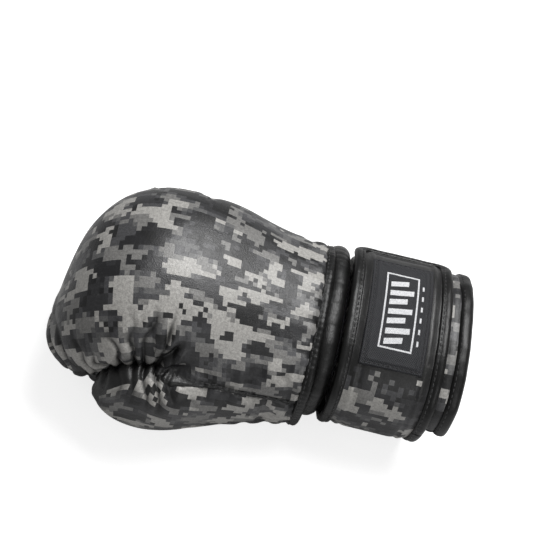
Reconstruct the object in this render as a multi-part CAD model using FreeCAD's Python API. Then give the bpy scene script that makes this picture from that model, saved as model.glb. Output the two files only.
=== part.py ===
import FreeCAD, Part
import math
import os

# Right-hand boxing glove with a hook-and-loop wrist strap, lying palm down.
# X runs along the glove from the fist (-X) to the cuff (+X), the thumb is on the -Y side,
# +Z is the back of the hand. The origin is the middle of the footprint. All sizes in mm.

# ---- driving sizes ----
body_length = 172.0        # fist front to the hem at the wrist
neck_width = 13.0          # soft roll between the hem and the strap
strap_width = 67.0
cuff_strip = 7.0           # cuff that shows between the strap and the end binding
end_binding_width = 9.0

fist_height = 115.0        # padded thickness over the knuckles
wrist_height = 92.0        # thickness at the hem
fist_far = 63.0            # reach of the fist to the little-finger side of the glove's axis
wrist_far = 55.0
fist_near = 80.0           # reach of the fist front to the thumb side
wrist_near = 57.0
front_y = -36.0            # the foremost point of the fist
front_z = 32.0
dome_length = 62.0         # length over which the fist front rounds off
fist_peak = 66.0           # distance of the thickest section from the front
near_curve = 1.3           # how evenly the thumb side widens from the hem to the front

thumb_start = 38.0         # thumb tip behind the fist front
thumb_reach = 91.0         # reach of the thumb's outer side
thumb_wrist_reach = 62.0
thumb_inner = 52.0         # inner side of the thumb lobe, along the thumb
thumb_wrist_inner = 38.0   # and at the hem
thumb_low = 8.0
thumb_high = 73.0
thumb_dome = 30.0
thumb_tip_drop = 4.0
thumb_split = 92.0         # where the thumb bends, behind the fist front

rest_sink = 3.0            # how much of each rounded underside is flattened by lying down

cuff_half_width = 61.0
cuff_height = 92.0
neck_drop = 5.0            # the neck roll is this much smaller than the strap all round

skin = 1.2                 # leather
glue_gap = 0.25            # between layers that are glued or sewn together
foam_gap = 0.7             # between the two layers of padding over the knuckles
knuckle_foam = 12.0        # outer layer
base_foam = 9.75           # inner layer
palm_foam_depth = 11.0
lining = 0.8
cuff_foam_depth = 7.5
grip_bar_radius = 9.0
grip_bar_behind_front = 84.0
grip_bar_height = 34.0
finger_seam = 12.0         # the palm panel starts this far in front of the grip bar
thumb_pocket_radius = 12.5
thumb_pocket_start = 32.0  # behind the thumb tip
pocket_mouth_before_hem = 10.0
pocket_mouth_y = 38.0
hand_near = 43.0           # reach of the hand compartment to the thumb side

palm_seam_height = 24.0
binding_width = 3.4
binding_stand = 0.8        # how far a folded binding stands out of what it covers
strap_skin = 1.2
strap_core = 1.9
hook_depth = 0.8
loop_depth = 0.8
strap_edge = 2.0           # width of the binding along each strap edge
patch_length = 78.0        # round the wrist
patch_width = 42.0
patch_depth = 1.2
emblem_depth = 0.3
slit_width = 18.0          # palm-side slit of the cuff

strap_end_angle = 22.0     # around the wrist: 0 little-finger side, 90 back, 180 thumb side
strap_top_angle = 138.0    # bend line between the back and the thumb side
strap_low_angle = 222.0    # bend line between the thumb side and the palm
strap_root_angle = 292.0
bend_gap = 0.6             # degrees left open at each bend line
end_binding_angle = 2.6    # width of the binding round the free end, as an angle
hook_end_angle = 118.0
loop_start_angle = 4.0
loop_end_angle = 150.0
loop_margin = 5.0
strap_sink = 0.4           # the leather lies this far below its bindings
end_binding_inset = 3.2
neck_depth = 12.0
patch_shift = -1.0
emblem_margin = 10.0
emblem_length = 54.0
bend_clearance = 0.5       # between the thumb and its root
thumb_clearance = 2.2      # between the thumb and its bed beside the fist
tether_width = 10.0
tether_drop = 6.0
tether_behind_tip = 22.0
tether_height = 38.0

# ---- places worked out from them ----
overall = body_length + neck_width + strap_width + cuff_strip + end_binding_width
front_x = -overall / 2.0
hem_x = front_x + body_length
strap_x = hem_x + neck_width
strip_x = strap_x + strap_width
end_x = front_x + overall
binding_x = end_x - end_binding_width
split_x = front_x + thumb_split
axis_y = (thumb_reach - fist_far) / 2.0     # the glove's own axis, off the footprint's middle
section_power = 2.35
ring_points = 28
dome_sections = 7                           # cross-sections in a rounded front
body_sections = 5                           # and behind it
sector_step = 20.0                          # degrees between the corners of a cutting wedge
dome_power = 2.2
blunt_tip = 0.2
deep = 400.0                                # larger than the glove, for cutting blocks

strap_depth = strap_sink + strap_skin + strap_core + hook_depth + 2 * glue_gap
shell_inset = strap_depth + loop_depth + 2 * glue_gap
cuff_foam_inset = shell_inset + skin + glue_gap
cuff_lining_inset = cuff_foam_inset + cuff_foam_depth + glue_gap
foam_inset = skin + glue_gap
base_foam_inset = foam_inset + knuckle_foam + foam_gap
lining_inset = base_foam_inset + base_foam
bar_x = front_x + grip_bar_behind_front


def vec(x, y, z):
    return FreeCAD.Vector(x, y, z)


def block(x0, x1, y0, y1, z0, z1):
    return Part.makeBox(x1 - x0, y1 - y0, z1 - z0, vec(x0, y0, z0))


def above(height):
    return block(-deep, deep, -deep, deep, height, deep)


def lobe_ring(x, y_low, y_high, z_low, z_high):
    """A closed rounded-square section across the glove at x."""
    points = []
    for i in range(ring_points):
        turn = 2 * math.pi * i / ring_points
        c = math.cos(turn)
        s = math.sin(turn)
        across = math.copysign(abs(c) ** (2 / section_power), c)
        up = math.copysign(abs(s) ** (2 / section_power), s)
        y = axis_y + (y_low + y_high) / 2 + across * (y_high - y_low) / 2
        z = (z_low + z_high) / 2 + up * (z_high - z_low) / 2
        points.append(vec(x, y, z))
    curve = Part.BSplineCurve()
    curve.interpolate(Points=points, PeriodicFlag=True)
    return Part.Wire([curve.toShape()])


def dome_stations(start, dome, end):
    """Places along the glove: close together in the rounded front, wide apart behind it."""
    near = []
    for i in range(dome_sections + 1):
        near.append(start + dome * (1 - math.cos(math.pi / 2 * i / dome_sections)))
    far = []
    for i in range(1, body_sections + 1):
        far.append(start + dome + (end - start - dome) * i / body_sections)
    return near + far


def rounding(distance, dome):
    """The small blunt share at the very front, 1 where the rounded front ends."""
    left = 1 - min(max(distance / dome, 0.0), 1.0)
    return blunt_tip + (1 - blunt_tip) * (1 - left ** dome_power) ** (1 / dome_power)


def taper(distance, peak, length):
    """1 up to the thickest section, 0 at the hem."""
    share = min(max((distance - peak) / (length - peak), 0.0), 1.0)
    return 0.5 * (1 + math.cos(math.pi * share))


def fist_section(x, inset, floor, near_limit):
    distance = x - front_x
    swell = taper(distance, fist_peak, body_length)
    grow = rounding(distance - inset, dome_length - inset)
    far = wrist_far + (fist_far - wrist_far) * swell - inset
    near = wrist_near + (fist_near - wrist_near) * (1 - min(distance / body_length, 1.0)) ** near_curve
    near = min(near - inset, near_limit)
    high = wrist_height + (fist_height - wrist_height) * swell - inset
    return (
        front_y - (near + front_y) * grow,
        front_y + (far - front_y) * grow,
        front_z + (floor - front_z) * grow,
        front_z + (high - front_z) * grow,
    )


def fist(inset, floor=None, past=0.0, near_limit=deep):
    """The fist's rounded block, inset all round; floor is its palm side."""
    floor = inset if floor is None else floor
    rings = []
    for x in dome_stations(front_x + inset, dome_length - inset, hem_x + past):
        rings.append(lobe_ring(x, *fist_section(x, inset, floor - rest_sink, near_limit)))
    return Part.makeLoft(rings, True, False).common(above(floor))


def thumb_section(x, inset):
    start = front_x + thumb_start
    distance = x - start
    grow = rounding(distance - inset, thumb_dome)
    swell = taper(distance, thumb_dome, hem_x - start)
    near = -(thumb_wrist_reach + (thumb_reach - thumb_wrist_reach) * swell) + inset
    inner = -(thumb_wrist_inner + (thumb_inner - thumb_wrist_inner) * swell) - inset
    tip_y = (near + inner) / 2
    tip_z = (thumb_low + thumb_high) / 2 - thumb_tip_drop
    low = thumb_low + inset
    high = thumb_high - inset
    return (
        tip_y + (near - tip_y) * grow,
        tip_y + (inner - tip_y) * grow,
        tip_z + (low - tip_z) * grow,
        tip_z + (high - tip_z) * grow,
    )


def thumb_lobe(inset):
    rings = []
    for x in dome_stations(front_x + thumb_start + inset, thumb_dome, hem_x):
        rings.append(lobe_ring(x, *thumb_section(x, inset)))
    return Part.makeLoft(rings, True, False)


def wrist_face(x, inset):
    """The cuff's section at x, flat where it rests, inset all round."""
    reach = cuff_half_width - inset
    ring = lobe_ring(x, -reach, reach, inset - rest_sink, cuff_height - inset)
    return Part.Face(ring).common(block(-deep, deep, -deep, deep, inset, deep))


def wrist_tube(x0, x1, outside, inside):
    profile = wrist_face(x0, outside).cut(wrist_face(x0, inside))
    return profile.extrude(vec(x1 - x0, 0, 0))


def sector(x0, x1, angle0, angle1):
    """A wedge about the cuff's middle between two angles, to cut strap lengths with."""
    middle = vec(x0, axis_y, cuff_height / 2)
    points = [middle]
    steps = max(2, int(abs(angle1 - angle0) / sector_step) + 1)
    for i in range(steps + 1):
        turn = math.radians(angle0 + (angle1 - angle0) * i / steps)
        points.append(middle + vec(0, deep * math.cos(turn), deep * math.sin(turn)))
    points.append(middle)
    return Part.Face(Part.makePolygon(points)).extrude(vec(x1 - x0, 0, 0))


def strap_piece(x0, x1, outside, inside, angle0, angle1):
    return wrist_tube(x0, x1, outside, inside).common(sector(x0, x1, angle0, angle1))


# ---- thumb pocket: a slanted round hollow from the palm of the hand into the thumb ----
thumb_mid_y = (thumb_reach + thumb_inner) / 2
thumb_mid_z = (thumb_low + thumb_high) / 2
pocket_tip = vec(front_x + thumb_start + thumb_pocket_start, axis_y - thumb_mid_y, thumb_mid_z)
pocket_mouth = vec(hem_x - pocket_mouth_before_hem, axis_y - pocket_mouth_y, thumb_mid_z)


def pocket(radius):
    way = pocket_mouth - pocket_tip
    tube = Part.makeCylinder(radius, way.Length, pocket_tip, way)
    return tube.fuse(Part.makeSphere(radius, pocket_tip)).removeSplitter()


thumb_side = block(-deep, split_x - bend_clearance, -deep, deep, -deep, deep)
hand_side = block(split_x, deep, -deep, deep, -deep, deep)
palm_side = block(-deep, deep, -deep, deep, -deep, palm_seam_height)
body_zone = block(-deep, hem_x - binding_width, -deep, deep, -deep, deep)
hem_zone = block(hem_x - binding_width, hem_x, -deep, deep, -deep, deep)
hand_zone = block(-deep, hem_x, -deep, deep, -deep, deep)

palm_half = block(bar_x - finger_seam, deep, -deep, deep, -deep, deep)

palm_foam_top = foam_inset + palm_foam_depth
bag_floor = palm_foam_top + glue_gap
fist_outer = fist(0.0)
fist_under_skin = fist(skin, past=1.0)
fist_foam_outer = fist(foam_inset)
base_reach = hand_near + base_foam / 2
fist_base = fist(base_foam_inset, near_limit=base_reach)
fist_base_room = fist(base_foam_inset - foam_gap, past=1.0, near_limit=base_reach + foam_gap)
bag_outer = fist(lining_inset, bag_floor, past=1.0, near_limit=hand_near)
bag_hollow = fist(lining_inset + lining, bag_floor + lining, past=2.0, near_limit=hand_near - lining)
thumb_outer = thumb_lobe(0.0)
thumb_under_skin = thumb_lobe(skin)
thumb_foam_outer = thumb_lobe(foam_inset)
pocket_hollow = pocket(thumb_pocket_radius)
pocket_bag = pocket(thumb_pocket_radius + lining)
pocket_room = pocket(thumb_pocket_radius + lining + glue_gap)

# the bed beside the fist that the thumb lies in, its leather and the padding under it
bed = thumb_lobe(-thumb_clearance).common(block(-deep, split_x, -deep, deep, -deep, deep))
bed_skin_room = thumb_lobe(-thumb_clearance - skin).common(
    block(-deep, split_x + skin, -deep, deep, -deep, deep))
bed_foam_room = thumb_lobe(-thumb_clearance - foam_inset).common(
    block(-deep, split_x + foam_inset, -deep, deep, -deep, deep))


def fist_skin():
    inside = fist_under_skin.cut(bed_skin_room)
    return fist_outer.cut(bed).cut(inside).cut(pocket_room).common(body_zone)


def side_skin():
    whole = thumb_outer.cut(thumb_under_skin).cut(fist_outer)
    return whole.common(hand_side).common(body_zone)


def hand_nodes():
    cover = fist_skin()
    cover = cover.cut(thumb_outer.common(hand_side))
    padding = fist_foam_outer.cut(bag_outer).cut(bed_foam_room).cut(pocket_room)
    palm_layer = block(-deep, deep, -deep, deep, -deep, palm_foam_top)
    side_padding = thumb_foam_outer.common(hand_side).cut(fist(-glue_gap)).cut(pocket_room)
    bag = bag_outer.fuse(pocket_bag.common(hand_side)).cut(bag_hollow).cut(pocket_hollow)
    hem = fist(-binding_stand, 0.0).fuse(thumb_lobe(-binding_stand))
    hem = hem.cut(fist_under_skin).cut(thumb_under_skin)
    return {
        "back_panel": cover.cut(palm_side),
        "palm_panel": cover.common(palm_side).common(palm_half),
        "finger_panel": cover.common(palm_side).cut(palm_half),
        "side_panel": side_skin(),
        "knuckle_foam": padding.cut(palm_layer).cut(fist_base_room),
        "base_foam": padding.cut(palm_layer).common(fist_base),
        "palm_foam": padding.common(palm_layer),
        "side_foam": side_padding,
        "hand_lining": bag.common(hand_zone),
        "grip_bar": grip_bar(),
        "hem_binding": hem.common(hem_zone),
    }


def grip_bar():
    """The padded bar that the fingers close round, sewn to the lining at both ends."""
    start = vec(bar_x, -deep, grip_bar_height)
    long_bar = Part.makeCylinder(grip_bar_radius, 2 * deep, start, vec(0, 1, 0))
    bag_inside = lining_inset + lining + glue_gap
    room = fist(bag_inside, bag_floor + lining, near_limit=hand_near - lining - glue_gap)
    return long_bar.common(room)


def thumb_nodes():
    cover = thumb_outer.cut(thumb_under_skin).common(thumb_side).cut(pocket_room)
    upper = above((thumb_low + thumb_high) / 2)
    return {
        "thumb_outer_panel": cover.common(upper),
        "thumb_inner_panel": cover.cut(upper),
        "thumb_foam": thumb_foam_outer.cut(pocket_room).common(thumb_side),
        "thumb_lining": pocket_bag.cut(pocket_hollow).common(thumb_side),
    }


def thumb_tether():
    """The short leather strip between the thumb and the fist, which keeps the thumb close."""
    x0 = front_x + thumb_start + tether_behind_tip
    strip = block(x0, x0 + tether_width, axis_y - thumb_mid_y, deep,
                  tether_height, tether_height + tether_drop)
    return bed.cut(thumb_lobe(-glue_gap)).common(strip)


def neck_nodes():
    x0 = hem_x + glue_gap
    x1 = strap_x - glue_gap
    return {
        "neck_roll": wrist_tube(x0, x1, neck_drop, neck_drop + neck_depth),
        "neck_lining": wrist_tube(x0, x1, neck_drop + neck_depth + glue_gap,
                                  neck_drop + neck_depth + glue_gap + lining),
    }


def cuff_nodes():
    slit = block(-deep, deep, axis_y - slit_width / 2, axis_y + slit_width / 2, -deep, cuff_height / 2)
    web = block(strap_x, binding_x, axis_y - slit_width / 2 + glue_gap, axis_y + slit_width / 2 - glue_gap,
                -deep, cuff_height / 2)
    shell = wrist_tube(strap_x, binding_x, shell_inset, shell_inset + skin)
    foam = wrist_tube(strap_x, binding_x, cuff_foam_inset, cuff_foam_inset + cuff_foam_depth)
    bag = wrist_tube(strap_x, binding_x, cuff_lining_inset, cuff_lining_inset + lining)
    end_roll = wrist_tube(binding_x, end_x, end_binding_inset, cuff_lining_inset + lining)
    loop_inset = strap_depth + glue_gap
    loop = strap_piece(strap_x + loop_margin, strip_x - loop_margin, loop_inset, loop_inset + loop_depth,
                       loop_start_angle, loop_end_angle)
    return {
        "cuff_shell": shell.cut(slit),
        "cuff_foam": foam.cut(slit),
        "cuff_lining": bag.cut(slit),
        "cuff_end_binding": end_roll.cut(slit),
        "wrist_gusset": shell.common(web),
        "loop_panel": loop,
    }


def strap_length(name, angle0, angle1, free_end=False):
    """One length of the strap: leather, webbing core and the binding along its edges."""
    tip = end_binding_angle if free_end else 0.0
    inner_x0 = strap_x + strap_edge
    inner_x1 = strip_x - strap_edge
    webbing = strap_sink + strap_skin + glue_gap
    cover = strap_piece(inner_x0, inner_x1, strap_sink, strap_sink + strap_skin, angle0 + tip, angle1)
    core = strap_piece(inner_x0, inner_x1, webbing, webbing + strap_core, angle0 + tip, angle1)
    edge = strap_piece(strap_x, inner_x0, 0.0, strap_depth, angle0, angle1)
    edge = edge.fuse(strap_piece(inner_x1, strip_x, 0.0, strap_depth, angle0, angle1))
    if free_end:
        end_edge = strap_piece(inner_x0, inner_x1, 0.0, strap_depth, angle0, angle0 + tip)
        edge = edge.fuse(end_edge).removeSplitter()
    return {name + "_leather": cover, name + "_core": core, name + "_binding": edge}


def patch_nodes():
    """The sewn patch on the back of the strap, and the plain raised device on it."""
    middle_x = (strap_x + strip_x) / 2 + patch_shift
    x0 = middle_x - patch_width / 2
    reach = block(-deep, deep, axis_y - patch_length / 2, axis_y + patch_length / 2, cuff_height / 2, deep)
    plate = wrist_tube(x0, x0 + patch_width, strap_sink - patch_depth, strap_sink).common(reach)
    outside = strap_sink - patch_depth
    emblem_x0 = x0 + emblem_margin
    emblem_x1 = x0 + patch_width - emblem_margin
    field = wrist_tube(emblem_x0, emblem_x1, outside - emblem_depth, outside)
    emblem_reach = block(-deep, deep, axis_y - emblem_length / 2, axis_y + emblem_length / 2,
                         cuff_height / 2, deep)
    return {"strap_patch": plate, "patch_emblem": field.common(emblem_reach)}


def strap_nodes():
    nodes = {}
    nodes.update(strap_length("strap_end", strap_end_angle, strap_top_angle - bend_gap, free_end=True))
    nodes.update(strap_length("strap_side", strap_top_angle, strap_low_angle - bend_gap))
    nodes.update(strap_length("strap_root", strap_low_angle, strap_root_angle))
    hook_inset = strap_sink + strap_skin + strap_core + 2 * glue_gap
    nodes["hook_panel"] = strap_piece(strap_x + strap_edge, strip_x - strap_edge, hook_inset,
                                      strap_depth, strap_end_angle + end_binding_angle, hook_end_angle)
    nodes.update(patch_nodes())
    return nodes


os.makedirs("parts", exist_ok=True)
nodes = {"thumb_tether": thumb_tether()}
for group in (hand_nodes(), thumb_nodes(), neck_nodes(), cuff_nodes(), strap_nodes()):
    nodes.update(group)
for name, shape in nodes.items():
    shape.exportStep("parts/" + name + ".step")
    print(name, len(shape.Solids), "solids", round(shape.Volume / 1000, 2), "cm3", shape.isValid())
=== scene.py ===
import math

import bpy
import numpy as np
from mathutils import Matrix, Vector


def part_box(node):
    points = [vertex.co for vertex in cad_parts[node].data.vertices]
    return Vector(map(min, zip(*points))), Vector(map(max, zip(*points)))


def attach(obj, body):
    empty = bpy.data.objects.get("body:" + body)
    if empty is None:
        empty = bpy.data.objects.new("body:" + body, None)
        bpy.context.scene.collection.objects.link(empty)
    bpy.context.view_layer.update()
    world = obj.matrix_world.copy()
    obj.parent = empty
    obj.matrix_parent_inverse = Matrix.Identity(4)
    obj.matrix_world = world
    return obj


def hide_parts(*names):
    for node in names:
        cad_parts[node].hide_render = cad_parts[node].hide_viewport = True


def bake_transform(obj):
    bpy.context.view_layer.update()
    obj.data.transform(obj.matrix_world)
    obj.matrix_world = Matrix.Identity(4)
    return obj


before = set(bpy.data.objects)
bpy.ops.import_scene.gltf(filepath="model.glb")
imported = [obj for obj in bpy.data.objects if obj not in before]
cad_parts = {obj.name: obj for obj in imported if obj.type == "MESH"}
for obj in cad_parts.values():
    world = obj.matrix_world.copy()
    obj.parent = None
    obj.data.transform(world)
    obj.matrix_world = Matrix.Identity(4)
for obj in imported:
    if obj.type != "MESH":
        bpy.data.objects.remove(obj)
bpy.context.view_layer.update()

# ---------------------------------------------------------------------------
# Where things are, taken from the model's own boxes. Metres throughout.
# ---------------------------------------------------------------------------
MM = 0.001
FRONT_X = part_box("back_panel")[0].x
HEM_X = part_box("hem_binding")[1].x
STRAP_X0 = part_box("strap_root_binding")[0].x
STRAP_X1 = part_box("strap_root_binding")[1].x
CUFF_END_X0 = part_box("cuff_end_binding")[0].x
CUFF_END_X1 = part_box("cuff_end_binding")[1].x
THUMB_TIP_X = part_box("thumb_outer_panel")[0].x
SPLIT_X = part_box("thumb_outer_panel")[1].x
PALM_SEAM_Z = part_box("palm_panel")[1].z
FINGER_SEAM_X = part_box("palm_panel")[0].x
PATCH_LOW, PATCH_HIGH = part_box("strap_patch")
EMBLEM_LOW, EMBLEM_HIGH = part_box("patch_emblem")
BAR_LOW, BAR_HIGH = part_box("grip_bar")
TETHER_LOW, TETHER_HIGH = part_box("thumb_tether")
CUFF_LOW, CUFF_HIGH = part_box("cuff_shell")
AXIS_Y = (CUFF_LOW.y + CUFF_HIGH.y) / 2
STRAP_MID_X = (STRAP_X0 + STRAP_X1) / 2

CAMO_CELL = 2.8 * MM
WRIST_CAMO_CELL = 3.4 * MM    # the strap and cuff are printed coarser
SECTION_POWER = 2.35          # 2 is an ellipse, more is squarer
DOME_POWER = 2.2
REST_SINK = 3 * MM            # how far the soft palm is pressed flat
BODY_LENGTH = HEM_X - FRONT_X
DOME_LENGTH = 62 * MM
THUMB_DOME = 30 * MM
FRONT_Y = AXIS_Y - 36 * MM
FRONT_Z = 32 * MM
BAG_INSET = 25 * MM
WRIST_HALF_WIDTH = 61 * MM
WRIST_HEIGHT = 92 * MM
WRIST_MID_Z = WRIST_HEIGHT / 2
STRAP_END_ANGLE = 22.0
STRAP_TOP_BEND = 138.0
STRAP_SPLIT_ANGLE = 180.0
STRAP_LOW_BEND = 222.0
STRAP_ROOT_ANGLE = 292.0

CLOTH_PRESSURE = 4.0
CLOTH_FRAMES = 20
CLOTH_CAP = 2.0 * MM          # the furthest that the simulation may move a point
CLOTH_SCALE = 10.0            # the cloth is simulated ten times its size, where the solver is steady
CLOTH_ROWS = 4                # every fourth row and column of a cover goes into its coarse cloth

# gathers: the middle of the fan, its depth beyond the crease, the pitch along the crease and the reach
FIST_GATHERS = (-66 * MM, 34 * MM, 5.4 * MM, 52 * MM)
THUMB_GATHERS = (-80 * MM, 26 * MM, 5.6 * MM, 46 * MM)
FIST_GATHER_DEPTH = 4.4 * MM
THUMB_GATHER_DEPTH = 3.6 * MM
GATHERS_X0, GATHERS_X1 = -110 * MM, -48 * MM      # stretch of the back cover that has close rows for them
GATHER_ROW = 0.75 * MM

STITCH_PITCH = 3.8 * MM       # stitch to stitch along every seam

# the seam that runs from the thumb's crease to the hem: place along the glove, turn about the fist
SEAM_LINE_X = np.array([-134, -96, -92, -86, -75, -62, -43, -21, 6, 38]) * MM
SEAM_LINE_TURN = np.array([196, 190, 181, 173, 168, 166, 165, 163, 165, 168.5])


def smooth(value, low, high):
    """0 at low, 1 at high and an even ramp between them."""
    share = np.clip((value - low) / (high - low), 0, 1)
    return share * share * (3 - 2 * share)


def soft_max(a, b, width):
    share = np.clip(0.5 + 0.5 * (a - b) / width, 0, 1)
    return b + (a - b) * share + width * share * (1 - share)


def soft_min(a, b, width):
    return -soft_max(-a, -b, width)


def on_table(z):
    """The soft underside lies flat on the table with a rounded edge."""
    return soft_max(z, 0 * z, 2.5 * MM)


def ripple(points, size, seed, layers=7):
    """Smooth, repeatable unevenness of about one unit, with features of the given size."""
    luck = np.random.default_rng(seed)
    total = np.zeros(points.shape[:-1])
    for _ in range(layers):
        way = luck.normal(size=3)
        way /= np.linalg.norm(way)
        rate = 2 * math.pi / (size * luck.uniform(0.7, 1.6))
        total += np.sin(points @ way * rate + luck.uniform(0, 6.28))
    return total / math.sqrt(layers)


# ---------------------------------------------------------------------------
# The glove's outline
# ---------------------------------------------------------------------------
def taper(distance, peak, length):
    share = np.clip((distance - peak) / (length - peak), 0, 1)
    return 0.5 * (1 + np.cos(np.pi * share))


def dome_growth(distance, length):
    left = 1 - np.clip(distance / length, 0, 1)
    return (1 - left ** DOME_POWER) ** (1 / DOME_POWER)


def fist_outline(x, inset=0.0, near_limit=1.0, floor=0.0):
    """Thumb side, far side, palm and back of the fist block at x."""
    distance = x - FRONT_X
    swell = taper(distance, 66 * MM, BODY_LENGTH)
    grow = dome_growth(distance - inset, DOME_LENGTH - inset)
    far = AXIS_Y + (55 + 8 * swell) * MM - inset
    reach = (57 + 23 * np.clip(1 - distance / BODY_LENGTH, 0, 1) ** 1.3) * MM
    near = AXIS_Y - np.minimum(reach - inset, near_limit)
    high = (92 + 23 * swell) * MM - inset
    low = floor - REST_SINK
    return (
        FRONT_Y + (near - FRONT_Y) * grow,
        FRONT_Y + (far - FRONT_Y) * grow,
        FRONT_Z + (low - FRONT_Z) * grow,
        FRONT_Z + (high - FRONT_Z) * grow,
    )


def thumb_outline(x):
    distance = x - THUMB_TIP_X
    swell = taper(distance, THUMB_DOME, HEM_X - THUMB_TIP_X)
    grow = dome_growth(distance, THUMB_DOME)
    near = AXIS_Y - (62 + 29 * swell) * MM
    inner = AXIS_Y - (38 + 14 * swell) * MM
    low, high = 8 * MM, 73 * MM
    tip_y = (near + inner) / 2
    tip_z = (low + high) / 2 - 4 * MM
    return (
        tip_y + (near - tip_y) * grow,
        tip_y + (inner - tip_y) * grow,
        tip_z + (low - tip_z) * grow,
        tip_z + (high - tip_z) * grow,
    )


def section_distance(y, z, outline):
    """How far a point lies outside a rounded-square section; below 0 inside."""
    near, far, low, high = outline
    half_y = np.maximum((far - near) / 2, 1e-5)
    half_z = np.maximum((high - low) / 2, 1e-5)
    dy = y - (near + far) / 2
    dz = z - (low + high) / 2
    ratio = (np.abs(dy) / half_y) ** SECTION_POWER + (np.abs(dz) / half_z) ** SECTION_POWER
    ratio = ratio ** (1 / SECTION_POWER)
    return np.hypot(dy, dz) * (1 - 1 / np.maximum(ratio, 1e-6))


def section_reach(turn, outline):
    near, far, low, high = outline
    c = np.abs(np.cos(turn)) / np.maximum((far - near) / 2, 1e-6)
    s = np.abs(np.sin(turn)) / np.maximum((high - low) / 2, 1e-6)
    return (c ** SECTION_POWER + s ** SECTION_POWER) ** (-1 / SECTION_POWER)


def middle_of(outline):
    near, far, low, high = outline
    return (near + far) / 2, (low + high) / 2


def joined_distance(x, y, z):
    """Distance outside the fist and the thumb taken together, with a fillet that grows towards the hem."""
    fist = section_distance(y, z, fist_outline(x))
    thumb = np.where(x > THUMB_TIP_X, section_distance(y, z, thumb_outline(x)), 1.0)
    fillet = (2 + 24 * smooth(x, -66 * MM, 10 * MM)) * MM
    return soft_min(fist, thumb, fillet)


def joined_reach(x, turn):
    """Where a ray from the fist's middle leaves the joined outline."""
    mid_y, mid_z = middle_of(fist_outline(x))
    low = np.zeros(np.broadcast(x, turn).shape)
    high = low + 0.16
    for _ in range(26):
        r = (low + high) / 2
        inside = joined_distance(x, mid_y + r * np.cos(turn), mid_z + r * np.sin(turn)) < 0
        low = np.where(inside, r, low)
        high = np.where(inside, high, r)
    return (low + high) / 2


def bed_reach(x, turn):
    """Where a ray from the fist's middle first meets the thumb; far away where it misses."""
    outline = thumb_outline(x)
    mid_y, mid_z = middle_of(fist_outline(x))
    centre_y, centre_z = middle_of(outline)
    along = (centre_y - mid_y) * np.cos(turn) + (centre_z - mid_z) * np.sin(turn)
    low = np.zeros(np.broadcast(x, turn).shape)
    high = low + along
    hit = section_distance(mid_y + high * np.cos(turn), mid_z + high * np.sin(turn), outline) < 0
    for _ in range(26):
        r = (low + high) / 2
        inside = section_distance(mid_y + r * np.cos(turn), mid_z + r * np.sin(turn), outline) < 0
        high = np.where(inside, r, high)
        low = np.where(inside, low, r)
    return np.where(hit & (x > THUMB_TIP_X), high, 1.0)


def seam_turn(x):
    return np.radians(np.interp(x, SEAM_LINE_X, SEAM_LINE_TURN))


def palm_seam_turns(x):
    """Turns at which the seam between back and palm lies, on the far side and the thumb side."""
    near, far, low, high = fist_outline(x)
    half_y, half_z = (far - near) / 2, (high - low) / 2
    grow = dome_growth(x - FRONT_X, DOME_LENGTH)
    drop = (FRONT_Z + (PALM_SEAM_Z - FRONT_Z) * grow - (low + high) / 2) / np.maximum(half_z, 1e-6)
    drop = np.clip(drop, -0.95, 0)
    side = (1 - np.abs(drop) ** SECTION_POWER) ** (1 / SECTION_POWER)
    turn = np.arctan2(drop * half_z, side * half_y)
    return turn, np.pi - turn


def even_ring(reach, turn0, turn1, columns, fine=420):
    """Columns spread evenly along an outline between two turns; returns the turns."""
    share = np.linspace(0, 1, fine)[None, :]
    turn = turn0[:, None] + (turn1 - turn0)[:, None] * share
    r = reach(turn)
    y, z = r * np.cos(turn), r * np.sin(turn)
    step = np.hypot(np.diff(y, axis=1), np.diff(z, axis=1)) + 1e-9
    length = np.concatenate([np.zeros((len(turn0), 1)), np.cumsum(step, axis=1)], axis=1)
    out = np.empty((len(turn0), columns))
    for i in range(len(turn0)):
        out[i] = np.interp(np.linspace(0, length[i, -1], columns), length[i], turn[i])
    return out


def stations(start, dome, end, dome_rows, rows):
    swing = np.linspace(0.035, math.pi / 2, dome_rows)
    near = start + dome * (1 - np.cos(swing))
    return np.concatenate([near, np.linspace(start + dome, end, rows + 1)[1:]])


# ---------------------------------------------------------------------------
# Turning grids of points into meshes
# ---------------------------------------------------------------------------
def grid_normals(grid):
    du = np.gradient(grid, axis=0)
    dv = np.gradient(grid, axis=1)
    n = np.cross(dv, du)
    return n / np.maximum(np.linalg.norm(n, axis=-1, keepdims=True), 1e-12)


def grid_lengths(grid, across_from):
    """Surface distances in metres: along from the last row, across from the given column."""
    along = np.linalg.norm(np.diff(grid, axis=0), axis=-1)
    along = np.concatenate([np.zeros((1, grid.shape[1])), np.cumsum(along, axis=0)])
    along = along - along[-1:]
    across = np.linalg.norm(np.diff(grid, axis=1), axis=-1)
    across = np.concatenate([np.zeros((grid.shape[0], 1)), np.cumsum(across, axis=1)], axis=1)
    across = across - across[:, across_from:across_from + 1]
    return along, across


def refine(coarse, rows, columns, shape, interpolate):
    """Spreads values from some of a grid's rows and columns over all of them."""
    every_row, every_column = np.arange(shape[0]), np.arange(shape[1])
    full = np.empty((shape[0], shape[1], coarse.shape[2]))
    for k in range(coarse.shape[2]):
        part = np.stack([interpolate(every_row, rows, line) for line in coarse[..., k].T], axis=1)
        full[..., k] = np.stack([interpolate(every_column, columns, line) for line in part])
    return full


def total_steps(grid):
    """The lengths of all of a grid's edges added up."""
    return sum(np.linalg.norm(np.diff(grid, axis=k), axis=-1).sum() for k in (0, 1))


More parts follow.
